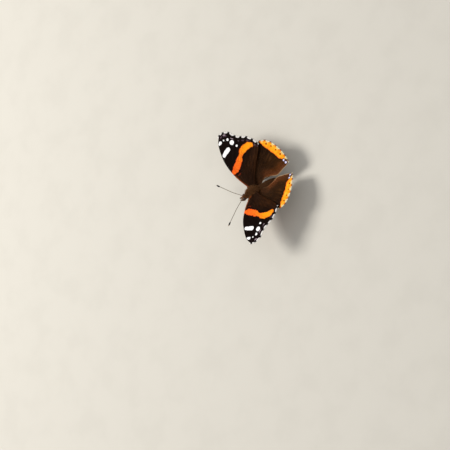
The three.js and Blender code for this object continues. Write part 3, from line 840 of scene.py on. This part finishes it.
wingFinishes = (
    (buildWing, forewingScales(), hindwingScales()),
    (buildFringe, fringeScales("chitinForewingFringe", "#F4EEE6", "#17100D"),
     fringeScales("chitinHindwingFringe", "#F7EABE", "#7A3412")),
    (buildWingHair, wingHairFinish("chitinForewingHair", forewingGround, forewing),
     wingHairFinish("chitinHindwingHair", hindwingGround, hindwing)),
)
for sideName, side in sides:
    for build, forewingFinish, hindwingFinish in wingFinishes:
        build(forewing, sideName, side, forewingFinish)
        build(hindwing, sideName, side, hindwingFinish)
print("wings built")

# Body skin

body = {
    # Place ahead, middle height, half width, half height, from the face to the tip of the abdomen
    "sections": [
        (5.4, -2.78, 0.1, 0.12), (5.25, -2.74, 0.5, 0.55), (4.8, -2.64, 0.86, 0.95),
        (4.05, -2.52, 1.02, 1.12), (3.3, -2.44, 0.98, 1.05), (2.8, -2.38, 0.78, 0.84),
        (2.45, -2.34, 0.95, 1.02), (2.1, -2.3, 1.4, 1.48), (1.5, -2.2, 1.88, 1.98), (0.7, -2.1, 2.3, 2.4),
        (-0.4, -2.05, 2.56, 2.64), (-1.9, -2.05, 2.6, 2.62), (-3.4, -2.15, 2.36, 2.36),
        (-4.7, -2.3, 1.88, 1.9), (-5.6, -2.4, 1.38, 1.44), (-6.4, -2.43, 1.52, 1.54),
        (-8.0, -2.48, 1.72, 1.72), (-10.0, -2.54, 1.82, 1.8), (-12.0, -2.59, 1.74, 1.72),
        (-14.0, -2.65, 1.46, 1.44), (-15.8, -2.71, 0.98, 0.96), (-16.8, -2.74, 0.55, 0.55),
        (-17.3, -2.75, 0.12, 0.12),
    ],
    "rings": 300,
    "sides": 96,
    "abdomenRings": 8,
    "grooveDepth": 0.05,
    "abdomenLength": 11.4,
    "tipAhead": -17.2,
    "flatBelly": 0.06,
    "widest": 2.7,
    "mapBehind": 17.6,       # what the map holds behind the hinges, and the length it holds in all
    "mapLength": 23.4,
}


def smoothBetween(places, values, at):
    # Monotone cubic through the sections, so the skin never bulges between them
    slopes = np.diff(values) / np.diff(places)
    tangents = np.concatenate([[slopes[0]], (slopes[:-1] + slopes[1:]) / 2, [slopes[-1]]])
    turns = slopes[:-1] * slopes[1:] <= 0
    tangents[1:-1][turns] = 0
    index = np.clip(np.searchsorted(places, at) - 1, 0, len(places) - 2)
    width = places[index + 1] - places[index]
    t = (at - places[index]) / width
    start, end = values[index], values[index + 1]
    leave, arrive = tangents[index] * width, tangents[index + 1] * width
    return ((2 * t ** 3 - 3 * t ** 2 + 1) * start + (t ** 3 - 2 * t ** 2 + t) * leave
            + (-2 * t ** 3 + 3 * t ** 2) * end + (t ** 3 - t ** 2) * arrive)


sections = np.array(body["sections"])[::-1]


def bodySurface(ahead, angle):
    # A point of the skin for a place along the body and an angle round it, nought at the right side
    height, halfWidth, halfHeight = (smoothBetween(sections[:, 0], sections[:, k], ahead) for k in (1, 2, 3))
    share = (abdomenFront - ahead) / body["abdomenLength"] * body["abdomenRings"]
    onAbdomen = np.clip((abdomenFront - ahead) / 0.8, 0, 1) * np.clip((ahead - body["tipAhead"]) / 0.8, 0, 1)
    phase = share - np.floor(share)
    groove = body["grooveDepth"] * onAbdomen * (np.exp(-(phase / 0.12) ** 2) - 0.35 * np.sin(math.pi * phase))
    out = (halfWidth - groove) * np.cos(angle)
    up = (halfHeight - groove) * np.sin(angle)
    flatten = 1 - body["flatBelly"] * (np.sin(angle) < 0)
    return np.column_stack([out, ahead, height + up * flatten])


def bodyUps(ahead, angle, step=0.02):
    along = bodySurface(ahead + step, angle) - bodySurface(ahead - step, angle)
    around = bodySurface(ahead, angle + step) - bodySurface(ahead, angle - step)
    ups = unit(-np.cross(around, along))
    height = smoothBetween(sections[:, 0], sections[:, 1], ahead)
    middle = np.column_stack([np.zeros(len(ahead)), ahead, height])
    inward = np.sum(ups * (bodySurface(ahead, angle) - middle), axis=1) < 0
    ups[inward] *= -1
    return ups


def bodyPlace(ahead, angle):
    # The skin unrolled on the map: round the body across, along the body upwards
    around = np.mod(angle + math.pi / 2, 2 * math.pi) / (2 * math.pi)
    along = (ahead + body["mapBehind"]) / body["mapLength"]
    return np.column_stack([0.01 + around * 0.98, 0.01 + along * 0.98])


def bodyFields(ahead, angle):
    return {"bodyAhead": ahead, "bodyUp": np.sin(angle)}


def bodyColours(tree, place):
    # Hair and scales: red-brown face, olive-brown thorax, dark abdomen, greyish buff beneath
    patches = noiseAbout(tree, place, scaleFor(1.1), 3.0)
    return paint(
        tree, "#583619",
        ("#744B27", "bodyAhead", -6.4, -4.6, 1.0, patches, 2.0),
        ("#7A4A22", "bodyAhead", 1.0, 3.3, 1.0, patches, 1.0),
        ("#8A7050", "bodyUp", -0.4, -0.8, 0.85, patches, 0.8),
        ("#2E1C0F", patches, 0.0, -0.3, 0.45))


def bodySkinFinish():
    # Chitin under a dense coat: dark, satin, finely granular between the hairs
    material, tree, place = newMaterial("chitinBodySkin")
    shade = addNode(tree, "ShaderNodeHueSaturation", {"Value": 0.7, "Color": bodyColours(tree, place)})
    grain = addNode(tree, "ShaderNodeTexVoronoi", {"Vector": place, "Scale": scaleFor(0.15)})
    settings = {"Roughness": 0.6, "Specular IOR Level": 0.1}
    return joinSurface(material, shade.outputs[0], settings, grain.outputs["Distance"], 0.5, 0.05)


def bodyCoatFinish():
    # Fine hair and narrow scales, paler towards their tips, with painted shade darkening their roots
    material, tree, place = newMaterial("chitinBodyHair")
    return joinHair(material, bodyColours(tree, place), {
        "pale": (2.3, 0.9), "dark": (0.5, 1.0), "paleTufts": (0.55, 1.0, 0.85), "darkTufts": (0.4, 0.05, 0.7),
        "shadedRootEnd": 0.55, "shadedRootShare": 0.3, "gloss": 0.08})


skinFinish = bodySkinFinish()
coatFinish = bodyCoatFinish()


def tubeFaces(rings, sides):
    # Quads between rings, and a cap on each end, all facing outwards
    faces = []
    for ring in range(rings - 1):
        for side in range(sides):
            after = (side + 1) % sides
            here, there = ring * sides, (ring + 1) * sides
            faces.append((there + side, there + after, here + after, here + side))
    return faces + [tuple(range(sides)), tuple(range(rings * sides - 1, (rings - 1) * sides - 1, -1))]


def buildSkin():
    ahead = np.linspace(sections[0, 0], sections[-1, 0], body["rings"])
    angle = np.linspace(0, 2 * math.pi, body["sides"], endpoint=False)
    aheads, angles = np.repeat(ahead, body["sides"]), np.tile(angle, body["rings"])
    piece = meshObject("BodySkin", bodySurface(aheads, angles), tubeFaces(body["rings"], body["sides"]),
                       skinFinish, "body_hair", "head", "thorax", "abdomen")
    keepFields(piece, bodyFields(aheads, angles))


buildSkin()

eye = {"radius": 0.86, "out": 0.98, "ahead": 4.05, "height": -2.35, "facet": 0.06, "clear": 0.03}

# Each coat: from and to along the body, number, length, width, how far it stands up, how flat each tuft
# is, how far it strays and which way it lies. The hair of the wing roots keeps to a band round the body,
# and the hair of the head is parted: forwards before that place and backwards behind it
coats = {
    "ThoraxHair": {"reach": (-5.4, 2.3), "count": 16500, "length": (0.6, 1.5), "width": 0.05,
                   "stand": (0.35, 0.75), "flatness": 0.8, "stray": 0.28, "lie": (0.0, -1.0, 0.0)},
    "WingRootHair": {"reach": (-4.8, -0.2), "count": 6000, "length": (0.9, 1.9), "width": 0.045,
                     "stand": (0.1, 0.5), "flatness": 0.8, "stray": 0.25, "lie": (1.2, -0.35, 0.5),
                     "band": (0.05, 0.85)},
    "AbdomenScales": {"reach": (-17.2, -5.3), "count": 15000, "length": (0.32, 0.62), "width": 0.11,
                      "stand": (0.06, 0.22), "flatness": 0.3, "stray": 0.12, "lie": (0.0, -1.0, 0.0)},
    "AbdomenHair": {"reach": (-16.8, -5.2), "count": 7000, "length": (0.45, 1.0), "width": 0.042,
                    "stand": (0.2, 0.5), "flatness": 0.9, "stray": 0.25, "lie": (0.0, -1.0, 0.0)},
    "HeadHair": {"reach": (2.2, 5.25), "count": 6500, "length": (0.22, 0.6), "width": 0.04,
                 "stand": (0.4, 0.9), "flatness": 0.9, "stray": 0.35, "lie": (0.0, 0.6, 0.15),
                 "parting": 4.1},
}


def spreadOverBody(reach, count):
    # Places on the skin, evenly spread over its area
    tries = count * 3
    ahead = chance.uniform(*reach, tries)
    angle = chance.uniform(0, 2 * math.pi, tries)
    girth = smoothBetween(sections[:, 0], sections[:, 2], ahead)
    keep = chance.random(tries) < girth / body["widest"]
    return ahead[keep][:count], angle[keep][:count]


def buildCoat(name, settings):
    ahead, angle = spreadOverBody(settings["reach"], settings["count"])
    lowest, highest = settings.get("band", (-2, 2))
    eyeMiddle = np.array([eye["out"], eye["ahead"], eye["height"]])
    toEye = np.linalg.norm(np.abs(bodySurface(ahead, angle)) * [1, 1, -1] - eyeMiddle, axis=1)
    wanted = (np.sin(angle) > lowest) & (np.sin(angle) < highest) & (toEye > eye["radius"] + eye["clear"])
    ahead, angle = ahead[wanted], angle[wanted]
    roots, ups = bodySurface(ahead, angle), bodyUps(ahead, angle)
    count = len(roots)
    back = np.tile(settings["lie"], (count, 1))
    back[:, 0] *= np.sign(np.cos(angle))
    if "parting" in settings:
        back *= np.where(ahead > settings["parting"], 1, -1)[:, None]
    back = back - ups * np.minimum(np.sum(back * ups, axis=1, keepdims=True), 0)
    stand = chance.uniform(*settings["stand"], count)[:, None]
    ways = back + ups * stand + chance.normal(0, settings["stray"], (count, 3))
    lengths = chance.uniform(*settings["length"], count)
    if name == "ThoraxHair":
        lengths *= 0.65 + 0.5 * np.clip(np.sin(angle), 0, 1)
    widths = settings["width"] * chance.uniform(0.7, 1.3, count)
    tufts = growTufts(roots - ups * 0.04, ups, ways, lengths, widths, settings["flatness"], 0.05, 0.14)
    tuftPiece(name, tufts, bodyPlace(ahead, angle), bodyFields(ahead, angle), coatFinish, "body_hair")


for coatName, coatSettings in coats.items():
    buildCoat(coatName, coatSettings)
print("body and coat built")

# Head


def eyeFinish():
    # Compound eye: clear cuticle over dark pigment, finely faceted, with soft darker bands.
    # Real facets are 0.025 mm wide and would not show, so they are drawn at 0.06 mm
    material, tree, place = newMaterial("chitinCompoundEye")
    colour = paint(tree, "#29150C", ("#4E2A15", noiseAbout(tree, place, scaleFor(0.9)), -0.05, 0.15))
    facets = addNode(tree, "ShaderNodeTexVoronoi", {"Vector": place, "Scale": scaleFor(eye["facet"])})
    settings = {"Roughness": 0.3, "Specular IOR Level": 0.3, "Coat Weight": 0.1, "Coat Roughness": 0.15}
    return joinSurface(material, colour, settings, facets.outputs["Distance"], 0.4, 0.04, invert=True)


def sphereMesh(radius, middle, rings=40, sides=64):
    polar = np.clip(np.linspace(0, math.pi, rings), 0.01, math.pi - 0.01)
    around = np.linspace(0, 2 * math.pi, sides, endpoint=False)
    p, a = np.repeat(polar, sides), np.tile(around, rings)
    shape = np.column_stack([np.sin(p) * np.cos(a), np.sin(p) * np.sin(a), np.cos(p)])
    return shape * radius + middle, tubeFaces(rings, sides)


def tubeMesh(path, radii, sides=16):
    path = np.asarray(path, float)
    ways = unit(np.gradient(path, axis=0))
    across = np.cross(ways[0], [0, 0, 1.0])
    if np.linalg.norm(across) < 1e-3:
        across = np.array([1.0, 0, 0])
    rings = []
    for place, way, radius in zip(path, ways, radii):
        across = unit(across - way * (across @ way))
        up = np.cross(across, way)
        for angle in np.linspace(0, 2 * math.pi, sides, endpoint=False):
            rings.append(place + radius * (across * math.cos(angle) + up * math.sin(angle)))
    return np.array(rings), tubeFaces(len(path), sides)


def bristlePlaces(path, count, first, last, sideways):
    # Picks places along a limb and angles round it: each pick, its angle, the way along and the way out
    picks = chance.integers(first, last, count)
    angle = chance.uniform(0, 2 * math.pi, count)
    ways = unit(np.gradient(path, axis=0)[picks])
    out = unit(np.cross(ways, sideways))
    ups = out * np.cos(angle)[:, None] + np.cross(ways, out) * np.sin(angle)[:, None]
    return picks, angle, ways, ups


eyeMaterial = eyeFinish()
for sideName, side in sides:
    vertices, faces = sphereMesh(eye["radius"], np.array([eye["out"] * side, eye["ahead"], eye["height"]]))
    meshObject("Eye" + sideName, vertices, faces, eyeMaterial, "eye", "eye_" + sideName.lower())

palp = {
    "path": [(0.9, 4.2, -3.75), (0.84, 5.1, -3.6), (0.68, 5.9, -3.1), (0.58, 6.55, -2.45)],
    "radii": (0.26, 0.36, 0.32, 0.1),
    "sides": 24,
    "hairs": 1500,
    "hairLength": (0.25, 0.6),
    "hairWidth": (0.03, 0.05),
}


def buildPalp(sideName, side):
    # Scaly feelers in front of the face, bristly all round
    path = splineThrough(palp["path"], 0.06)
    radii = np.interp(np.linspace(0, 1, len(path)), np.linspace(0, 1, 4), palp["radii"])
    flip = np.array([side, 1, 1])
    vertices, faces = tubeMesh(path * flip, radii, palp["sides"])
    node = "palp_" + sideName.lower()
    piece = meshObject("Palp" + sideName, vertices, faces, skinFinish, "body_hair", node)
    around = np.sin(np.linspace(0, 2 * math.pi, palp["sides"]))
    ahead, up = np.repeat(path[:, 1], palp["sides"]), np.tile(around, len(path))
    keepFields(piece, {"bodyAhead": ahead, "bodyUp": up})
    count = palp["hairs"]
    picks, angle, ways, ups = bristlePlaces(path, count, 3, len(path) - 1, [1.0, 0, 0])
    roots = path[picks] + ups * radii[picks][:, None] * 0.95
    ways = ways + ups * 0.45 + chance.normal(0, 0.2, (count, 3))
    tufts = growTufts(roots * flip, ups * flip, ways * flip, chance.uniform(*palp["hairLength"], count),
                      chance.uniform(*palp["hairWidth"], count), 0.8, 0.05, 0.1)
    places = np.column_stack([0.1 + 0.8 * picks / len(path), 0.1 + 0.8 * angle / (2 * math.pi)])
    fields = {"bodyAhead": path[picks, 1], "bodyUp": ups[:, 2]}
    tuftPiece("PalpHair" + sideName, tufts, places, fields, coatFinish, "body_hair")


proboscis = {"turns": 2.8, "outer": 0.74, "inner": 0.16, "radius": 0.085, "rootRadius": 0.11, "ahead": 4.35,
             "height": -4.77, "mouthAhead": 4.15, "mouthHeight": -3.5, "startAngle": 100, "points": 220}


def proboscisFinish():
    # Two channelled halves of dark cuticle, satin, ringed like a hose
    material, tree, place = newMaterial("chitinProboscis")
    rings = addNode(tree, "ShaderNodeTexWave", {"Vector": place, "Scale": scaleFor(0.29), "Distortion": 2.0})
    colour = paint(tree, "#2A1A10", ("#5B3D25", rings.outputs["Fac"], 0.3, 0.8))
    return joinSurface(material, colour, {"Roughness": 0.35})


def buildProboscis():
    count = proboscis["points"]
    angle = math.radians(proboscis["startAngle"]) - np.linspace(0, proboscis["turns"] * 2 * math.pi, count)
    reach = np.linspace(proboscis["outer"], proboscis["inner"], count)
    coil = np.column_stack([np.zeros(count), proboscis["ahead"] + reach * np.cos(angle),
                            proboscis["height"] + reach * np.sin(angle)])
    mouth = [0, proboscis["mouthAhead"], proboscis["mouthHeight"]]
    path = np.vstack([np.linspace(mouth, coil[0], 12)[:-1], coil])
    radii = np.linspace(proboscis["rootRadius"], proboscis["radius"] * 0.6, len(path))
    vertices, faces = tubeMesh(path, radii, 10)
    meshObject("Proboscis", vertices, faces, proboscisFinish(), "proboscis", "proboscis")


for sideName, side in sides:
    buildPalp(sideName, side)
buildProboscis()
print("head built")

# Antennae

antenna = {
    "path": [(0.55, 4.2, -1.45), (4.3, 8.5, -0.4), (8.3, 12.3, 0.42), (12.4, 16.1, 1.2)],
    "shaftRadius": 0.135,
    "clubRadius": 0.42,
    "clubStart": 0.86,
    "joints": 42,
    "sides": 16,
}


def antennaFinish():
    # Scaled cuticle: dark rings with a pale collar at each joint, a black club and a buff tip
    material, tree, place = newMaterial("chitinAntenna")
    fine = noiseAbout(tree, place, scaleFor(0.2))
    club = antenna["clubStart"]
    colour = paint(
        tree, "#3A2A1E",
        ("#BCAD92", "jointShare", 0.62, 0.76, 0.85, fine, 0.25),
        ("#120D0C", "antennaShare", club - 0.02, club + 0.01, 1.0, fine, 0.02),
        ("#C4A06C", "antennaShare", 0.975, 0.99, 1.0, fine, 0.01))
    return joinSurface(material, colour, {"Roughness": 0.6, "Specular IOR Level": 0.15}, fine, 0.4, 0.04)


antennaMaterial = antennaFinish()


def buildAntenna(sideName, side):
    path = splineThrough(antenna["path"], 0.045)
    share = np.linspace(0, 1, len(path))
    joint = share / antenna["clubStart"] * antenna["joints"]
    phase = joint - np.floor(joint)
    radii = antenna["shaftRadius"] * (1 + 0.12 * np.sin(math.pi * phase)) * (1 + 0.35 * np.exp(-share / 0.02))
    club = np.clip((share - antenna["clubStart"]) / (1 - antenna["clubStart"]), 0, 1)
    swell = np.sin(math.pi * club ** 0.8) ** 0.8
    radii = radii * (1 - 0.5 * club) + (antenna["clubRadius"] - antenna["shaftRadius"]) * swell
    radii *= np.sqrt(np.clip((1 - share) / 0.012, 0.02, 1))  # rounds the tip
    radii *= 1 - 0.05 * (share >= antenna["clubStart"]) * (np.sin(club * 12 * math.pi) ** 8)
    vertices, faces = tubeMesh(path * [side, 1, 1], radii, antenna["sides"])
    piece = meshObject("Antenna" + sideName, vertices, faces, antennaMaterial, "antenna",
                       "antenna_" + sideName.lower())
    keepFields(piece, {"antennaShare": np.repeat(share, antenna["sides"]),
                       "jointShare": np.repeat(phase, antenna["sides"])})


# Legs

footHeight = -hingeHeight + 0.15
legs = {
    "foreleg": {"joints": [(0.95, 1.95, -4.2, 0.26), (1.5, 3.65, -5.05, 0.2), (1.2, 2.4, -5.7, 0.17),
                           (1.1, 0.95, -5.95, 0.1)], "foot": 1, "hairs": 900, "hair": (0.4, 0.85)},
    "midleg": {"joints": [(1.35, -0.3, -4.6, 0.42), (1.9, -0.1, -5.65, 0.3), (4.9, 1.6, -3.95, 0.2),
                          (7.1, 2.4, footHeight + 0.45, 0.15), (7.8, 2.75, footHeight, 0.13),
                          (9.35, 3.85, footHeight, 0.1)], "foot": 2, "hairs": 900, "hair": (0.14, 0.32)},
    "hindleg": {"joints": [(1.3, -2.9, -4.5, 0.42), (1.8, -3.4, -5.65, 0.3), (4.6, -6.6, -4.25, 0.2),
                           (5.9, -10.9, footHeight + 0.45, 0.15), (6.2, -11.8, footHeight, 0.13),
                           (7.05, -14.5, footHeight, 0.1)], "foot": 2, "hairs": 1000, "hair": (0.14, 0.32)},
}


def legFinish():
    # Cuticle under flat scales: brown above, buff below, slightly glossy
    material, tree, place = newMaterial("chitinLeg")
    patches = noiseAbout(tree, place, scaleFor(0.77), 3.0)
    colour = paint(tree, "#5A4330", ("#A58A63", patches, -0.1, 0.2), ("#2E2018", patches, -0.08, -0.25))
    grain = addNode(tree, "ShaderNodeTexVoronoi", {"Vector": place, "Scale": scaleFor(0.14)})
    grain = grain.outputs["Distance"]
    return joinSurface(material, colour, {"Roughness": 0.5}, grain, 0.5, 0.04)


legMaterial = legFinish()


def legPath(settings):
    # Middle line and radius of a leg, a little swollen within each joint and knuckled on the last
    joints = np.array(settings["joints"])
    lines, radii = [], []
    for index, (start, end) in enumerate(zip(joints, joints[1:])):
        length = np.linalg.norm(end[:3] - start[:3])
        share = np.linspace(0, 1, max(8, int(length / 0.07)), endpoint=False)
        onFoot = index >= len(joints) - 1 - settings["foot"]
        belly = 0.35 * np.sin(math.pi * share) ** 0.7 if not onFoot else 0.0
        knuckles = 0.16 * np.abs(np.sin(math.pi * share * 4)) if index == len(joints) - 2 else 0.0
        lines.append(start[:3] + (end[:3] - start[:3]) * share[:, None])
        radii.append((start[3] + (end[3] - start[3]) * share) * (0.82 + belly + knuckles))
    path = np.vstack(lines + [joints[-1:, :3]])
    radius = np.concatenate(radii + [[joints[-1, 3] * 0.8]])
    for _ in range(3):
        path[1:-1] = (path[:-2] + 2 * path[1:-1] + path[2:]) / 4
    path[:, 2] = np.maximum(path[:, 2], radius - hingeHeight + 0.005)
    return path, radius, len(lines[0]) + len(lines[1])


def clawsAndSpines(path, radius, side, firstSpine):
    # Two hooked claws at the foot and a row of spines on either side of shin and foot
    tip = path[-1]
    way = unit(tip - path[-8])
    across = np.cross(way, [0, 0, 1.0])
    t = np.linspace(0, 1, 12)
    for claw in (-1, 1):
        curve = tip - way * 0.03 + way * 0.3 * t[:, None] + across * claw * (0.05 + 0.16 * t[:, None])
        curve[:, 2] += 0.07 * np.sin(math.pi * t) - 0.05 * t
        clawRadii = 0.05 * (1 - 0.85 * t)
        curve[:, 2] = np.maximum(curve[:, 2], clawRadii - hingeHeight + 0.004)
        yield tubeMesh(curve * [side, 1, 1], clawRadii, 8)
    ways = unit(np.gradient(path, axis=0))
    t = np.linspace(0, 1, 4)
    for number, index in enumerate(np.arange(firstSpine, len(path) - 6, 5)):
        out = np.cross(ways[index], [0, 0, 1.0]) * (1 if number % 2 else -1)
        out[2] -= 0.15 if path[index, 2] > footHeight + 0.3 else -0.2
        out = unit(out)
        curve = path[index] + out * radius[index] * 0.7 + (ways[index] * 0.3 + out * 0.24) * t[:, None]
        curve[:, 2] = np.maximum(curve[:, 2], 0.03 - hingeHeight)
        yield tubeMesh(curve * [side, 1, 1], 0.028 * (1 - 0.8 * t), 5)


def buildLeg(legName, sideName, side):
    settings = legs[legName]
    path, radius, thighEnd = legPath(settings)
    parts = [tubeMesh(path * [side, 1, 1], radius, 14)]
    if legName != "foreleg":
        parts += clawsAndSpines(path, radius, side, thighEnd + 8)
    faces, start = [], 0
    for partVertices, partFaces in parts:
        faces += [tuple(corner + start for corner in face) for face in partFaces]
        start += len(partVertices)
    title = legName.capitalize() + sideName
    meshObject(title, np.vstack([vertices for vertices, _ in parts]), faces, legMaterial, "leg",
               legName + "_" + sideName.lower())
    picks, angle, ways, ups = bristlePlaces(path, settings["hairs"], 2, len(path) - 3, [0.3, 0.2, 0.93])
    roots = path[picks] + ups * radius[picks][:, None] * 0.9
    lengths = chance.uniform(*settings["hair"], settings["hairs"])
    ways = unit(ways + ups * 0.35 + chance.normal(0, 0.12, ups.shape))
    floor = 0.05 - hingeHeight
    above = ((roots + ways * lengths[:, None])[:, 2] > floor) & (roots[:, 2] > floor)
    kept = [values[above] for values in (roots, ups, ways, lengths, picks, angle)]
    roots, ups, ways, lengths, picks, angle = kept
    flip = np.array([side, 1, 1])
    tufts = growTufts(roots * flip, ups * flip, ways * flip, lengths, chance.uniform(0.03, 0.05, len(roots)),
                      0.5, 0.0, 0.05)
    places = np.column_stack([0.05 + 0.9 * picks / len(path), 0.05 + 0.9 * angle / (2 * math.pi)])
    fields = {"bodyAhead": np.full(len(roots), -7.0), "bodyUp": ups[:, 2] * 0.6 - 0.4}
    tuftPiece(title + "Hair", tufts, places, fields, coatFinish, "leg")


for sideName, side in sides:
    buildAntenna(sideName, side)
    for legName in legs:
        buildLeg(legName, sideName, side)
print("antennae and legs built")

# Floor, light and camera

studio = {
    "floorSize": 4.0,
    "floorColour": "#C9C3B6",
    "distance": 0.8,
    "pixelsPerMm": 1.93,
    "imageSize": 450,
    "aimPoint": (0, 1.04, 2.7),
    "aimPixel": (243.8, 192.04),  # where that point lies in the picture, across and down
    "towards": (-0.42, -0.4187, 0.8052),
    "rightWay": (-0.2568, -0.7961, -0.5479),
    "sensor": 36.0,
    "lightAim": (0, 0, 0.01),
    "key": {"power": 8.5, "size": 0.35, "place": (0.25, 0.55, 0.75)},
    "fill": {"power": 1.5, "size": 0.8, "place": (-0.7, -0.5, 0.6)},
    "skyColour": (0.93, 0.95, 1.0, 1),
    "skyStrength": 0.55,
}


def buildFloor():
    # Smooth matt plaster, pale, with the faintest grain
    material, tree, place = newMaterial("plasterFloor")
    grain = noiseAbout(tree, place, scaleFor(17), 4.0)
    colour = paint(tree, studio["floorColour"], ("#C6C0B3", grain, -0.1, 0.2))
    joinSurface(material, colour, {"Roughness": 0.85})
    half = studio["floorSize"] / 2
    mesh = bpy.data.meshes.new("Floor")
    corners = [(-half, -half, 0), (half, -half, 0), (half, half, 0), (-half, half, 0)]
    mesh.from_pydata(corners, [], [(0, 1, 2, 3)])
    mesh.materials.append(material)
    floor = bpy.data.objects.new("Floor", mesh)
    bpy.context.scene.collection.objects.link(floor)


def addLight(name, settings):
    data = bpy.data.lights.new(name, "AREA")
    data.energy = settings["power"]
    data.size = settings["size"]
    light = bpy.data.objects.new(name, data)
    light.location = settings["place"]
    aim = Vector(studio["lightAim"]) - Vector(settings["place"])
    light.rotation_euler = aim.to_track_quat("-Z", "Y").to_euler()
    bpy.context.scene.collection.objects.link(light)


def setCamera():
    # The camera's three directions in the butterfly's frame, which stands level here
    towards = unit(np.array(studio["towards"]))
    right = np.array(studio["rightWay"])
    right = unit(right - towards * (right @ towards))
    up = np.cross(towards, right)
    across, down = studio["aimPixel"]
    half = studio["imageSize"] / 2
    offset = right * (half - across) + up * (down - half)
    target = toFrame([studio["aimPoint"]])[0] + offset / studio["pixelsPerMm"] * mm
    data = bpy.data.cameras.new("PhotoCamera")
    data.sensor_width = studio["sensor"]
    span = studio["imageSize"] / studio["pixelsPerMm"] * mm
    data.lens = studio["sensor"] * studio["distance"] / span
    data.clip_start = 0.01
    camera = bpy.data.objects.new("PhotoCamera", data)
    matrix = np.eye(4)
    matrix[:3, :3] = np.column_stack([right, up, towards])
    matrix[:3, 3] = target + towards * studio["distance"]
    camera.matrix_world = Matrix(matrix.tolist())
    bpy.context.scene.collection.objects.link(camera)
    bpy.context.scene.camera = camera


buildFloor()
addLight("KeyLight", studio["key"])
addLight("FillLight", studio["fill"])
world = bpy.data.worlds.new("SoftRoom")
world.use_nodes = True
world.node_tree.nodes["Background"].inputs["Color"].default_value = studio["skyColour"]
world.node_tree.nodes["Background"].inputs["Strength"].default_value = studio["skyStrength"]
bpy.context.scene.world = world
bpy.context.scene.view_settings.view_transform = "Standard"
setCamera()
print("studio ready")
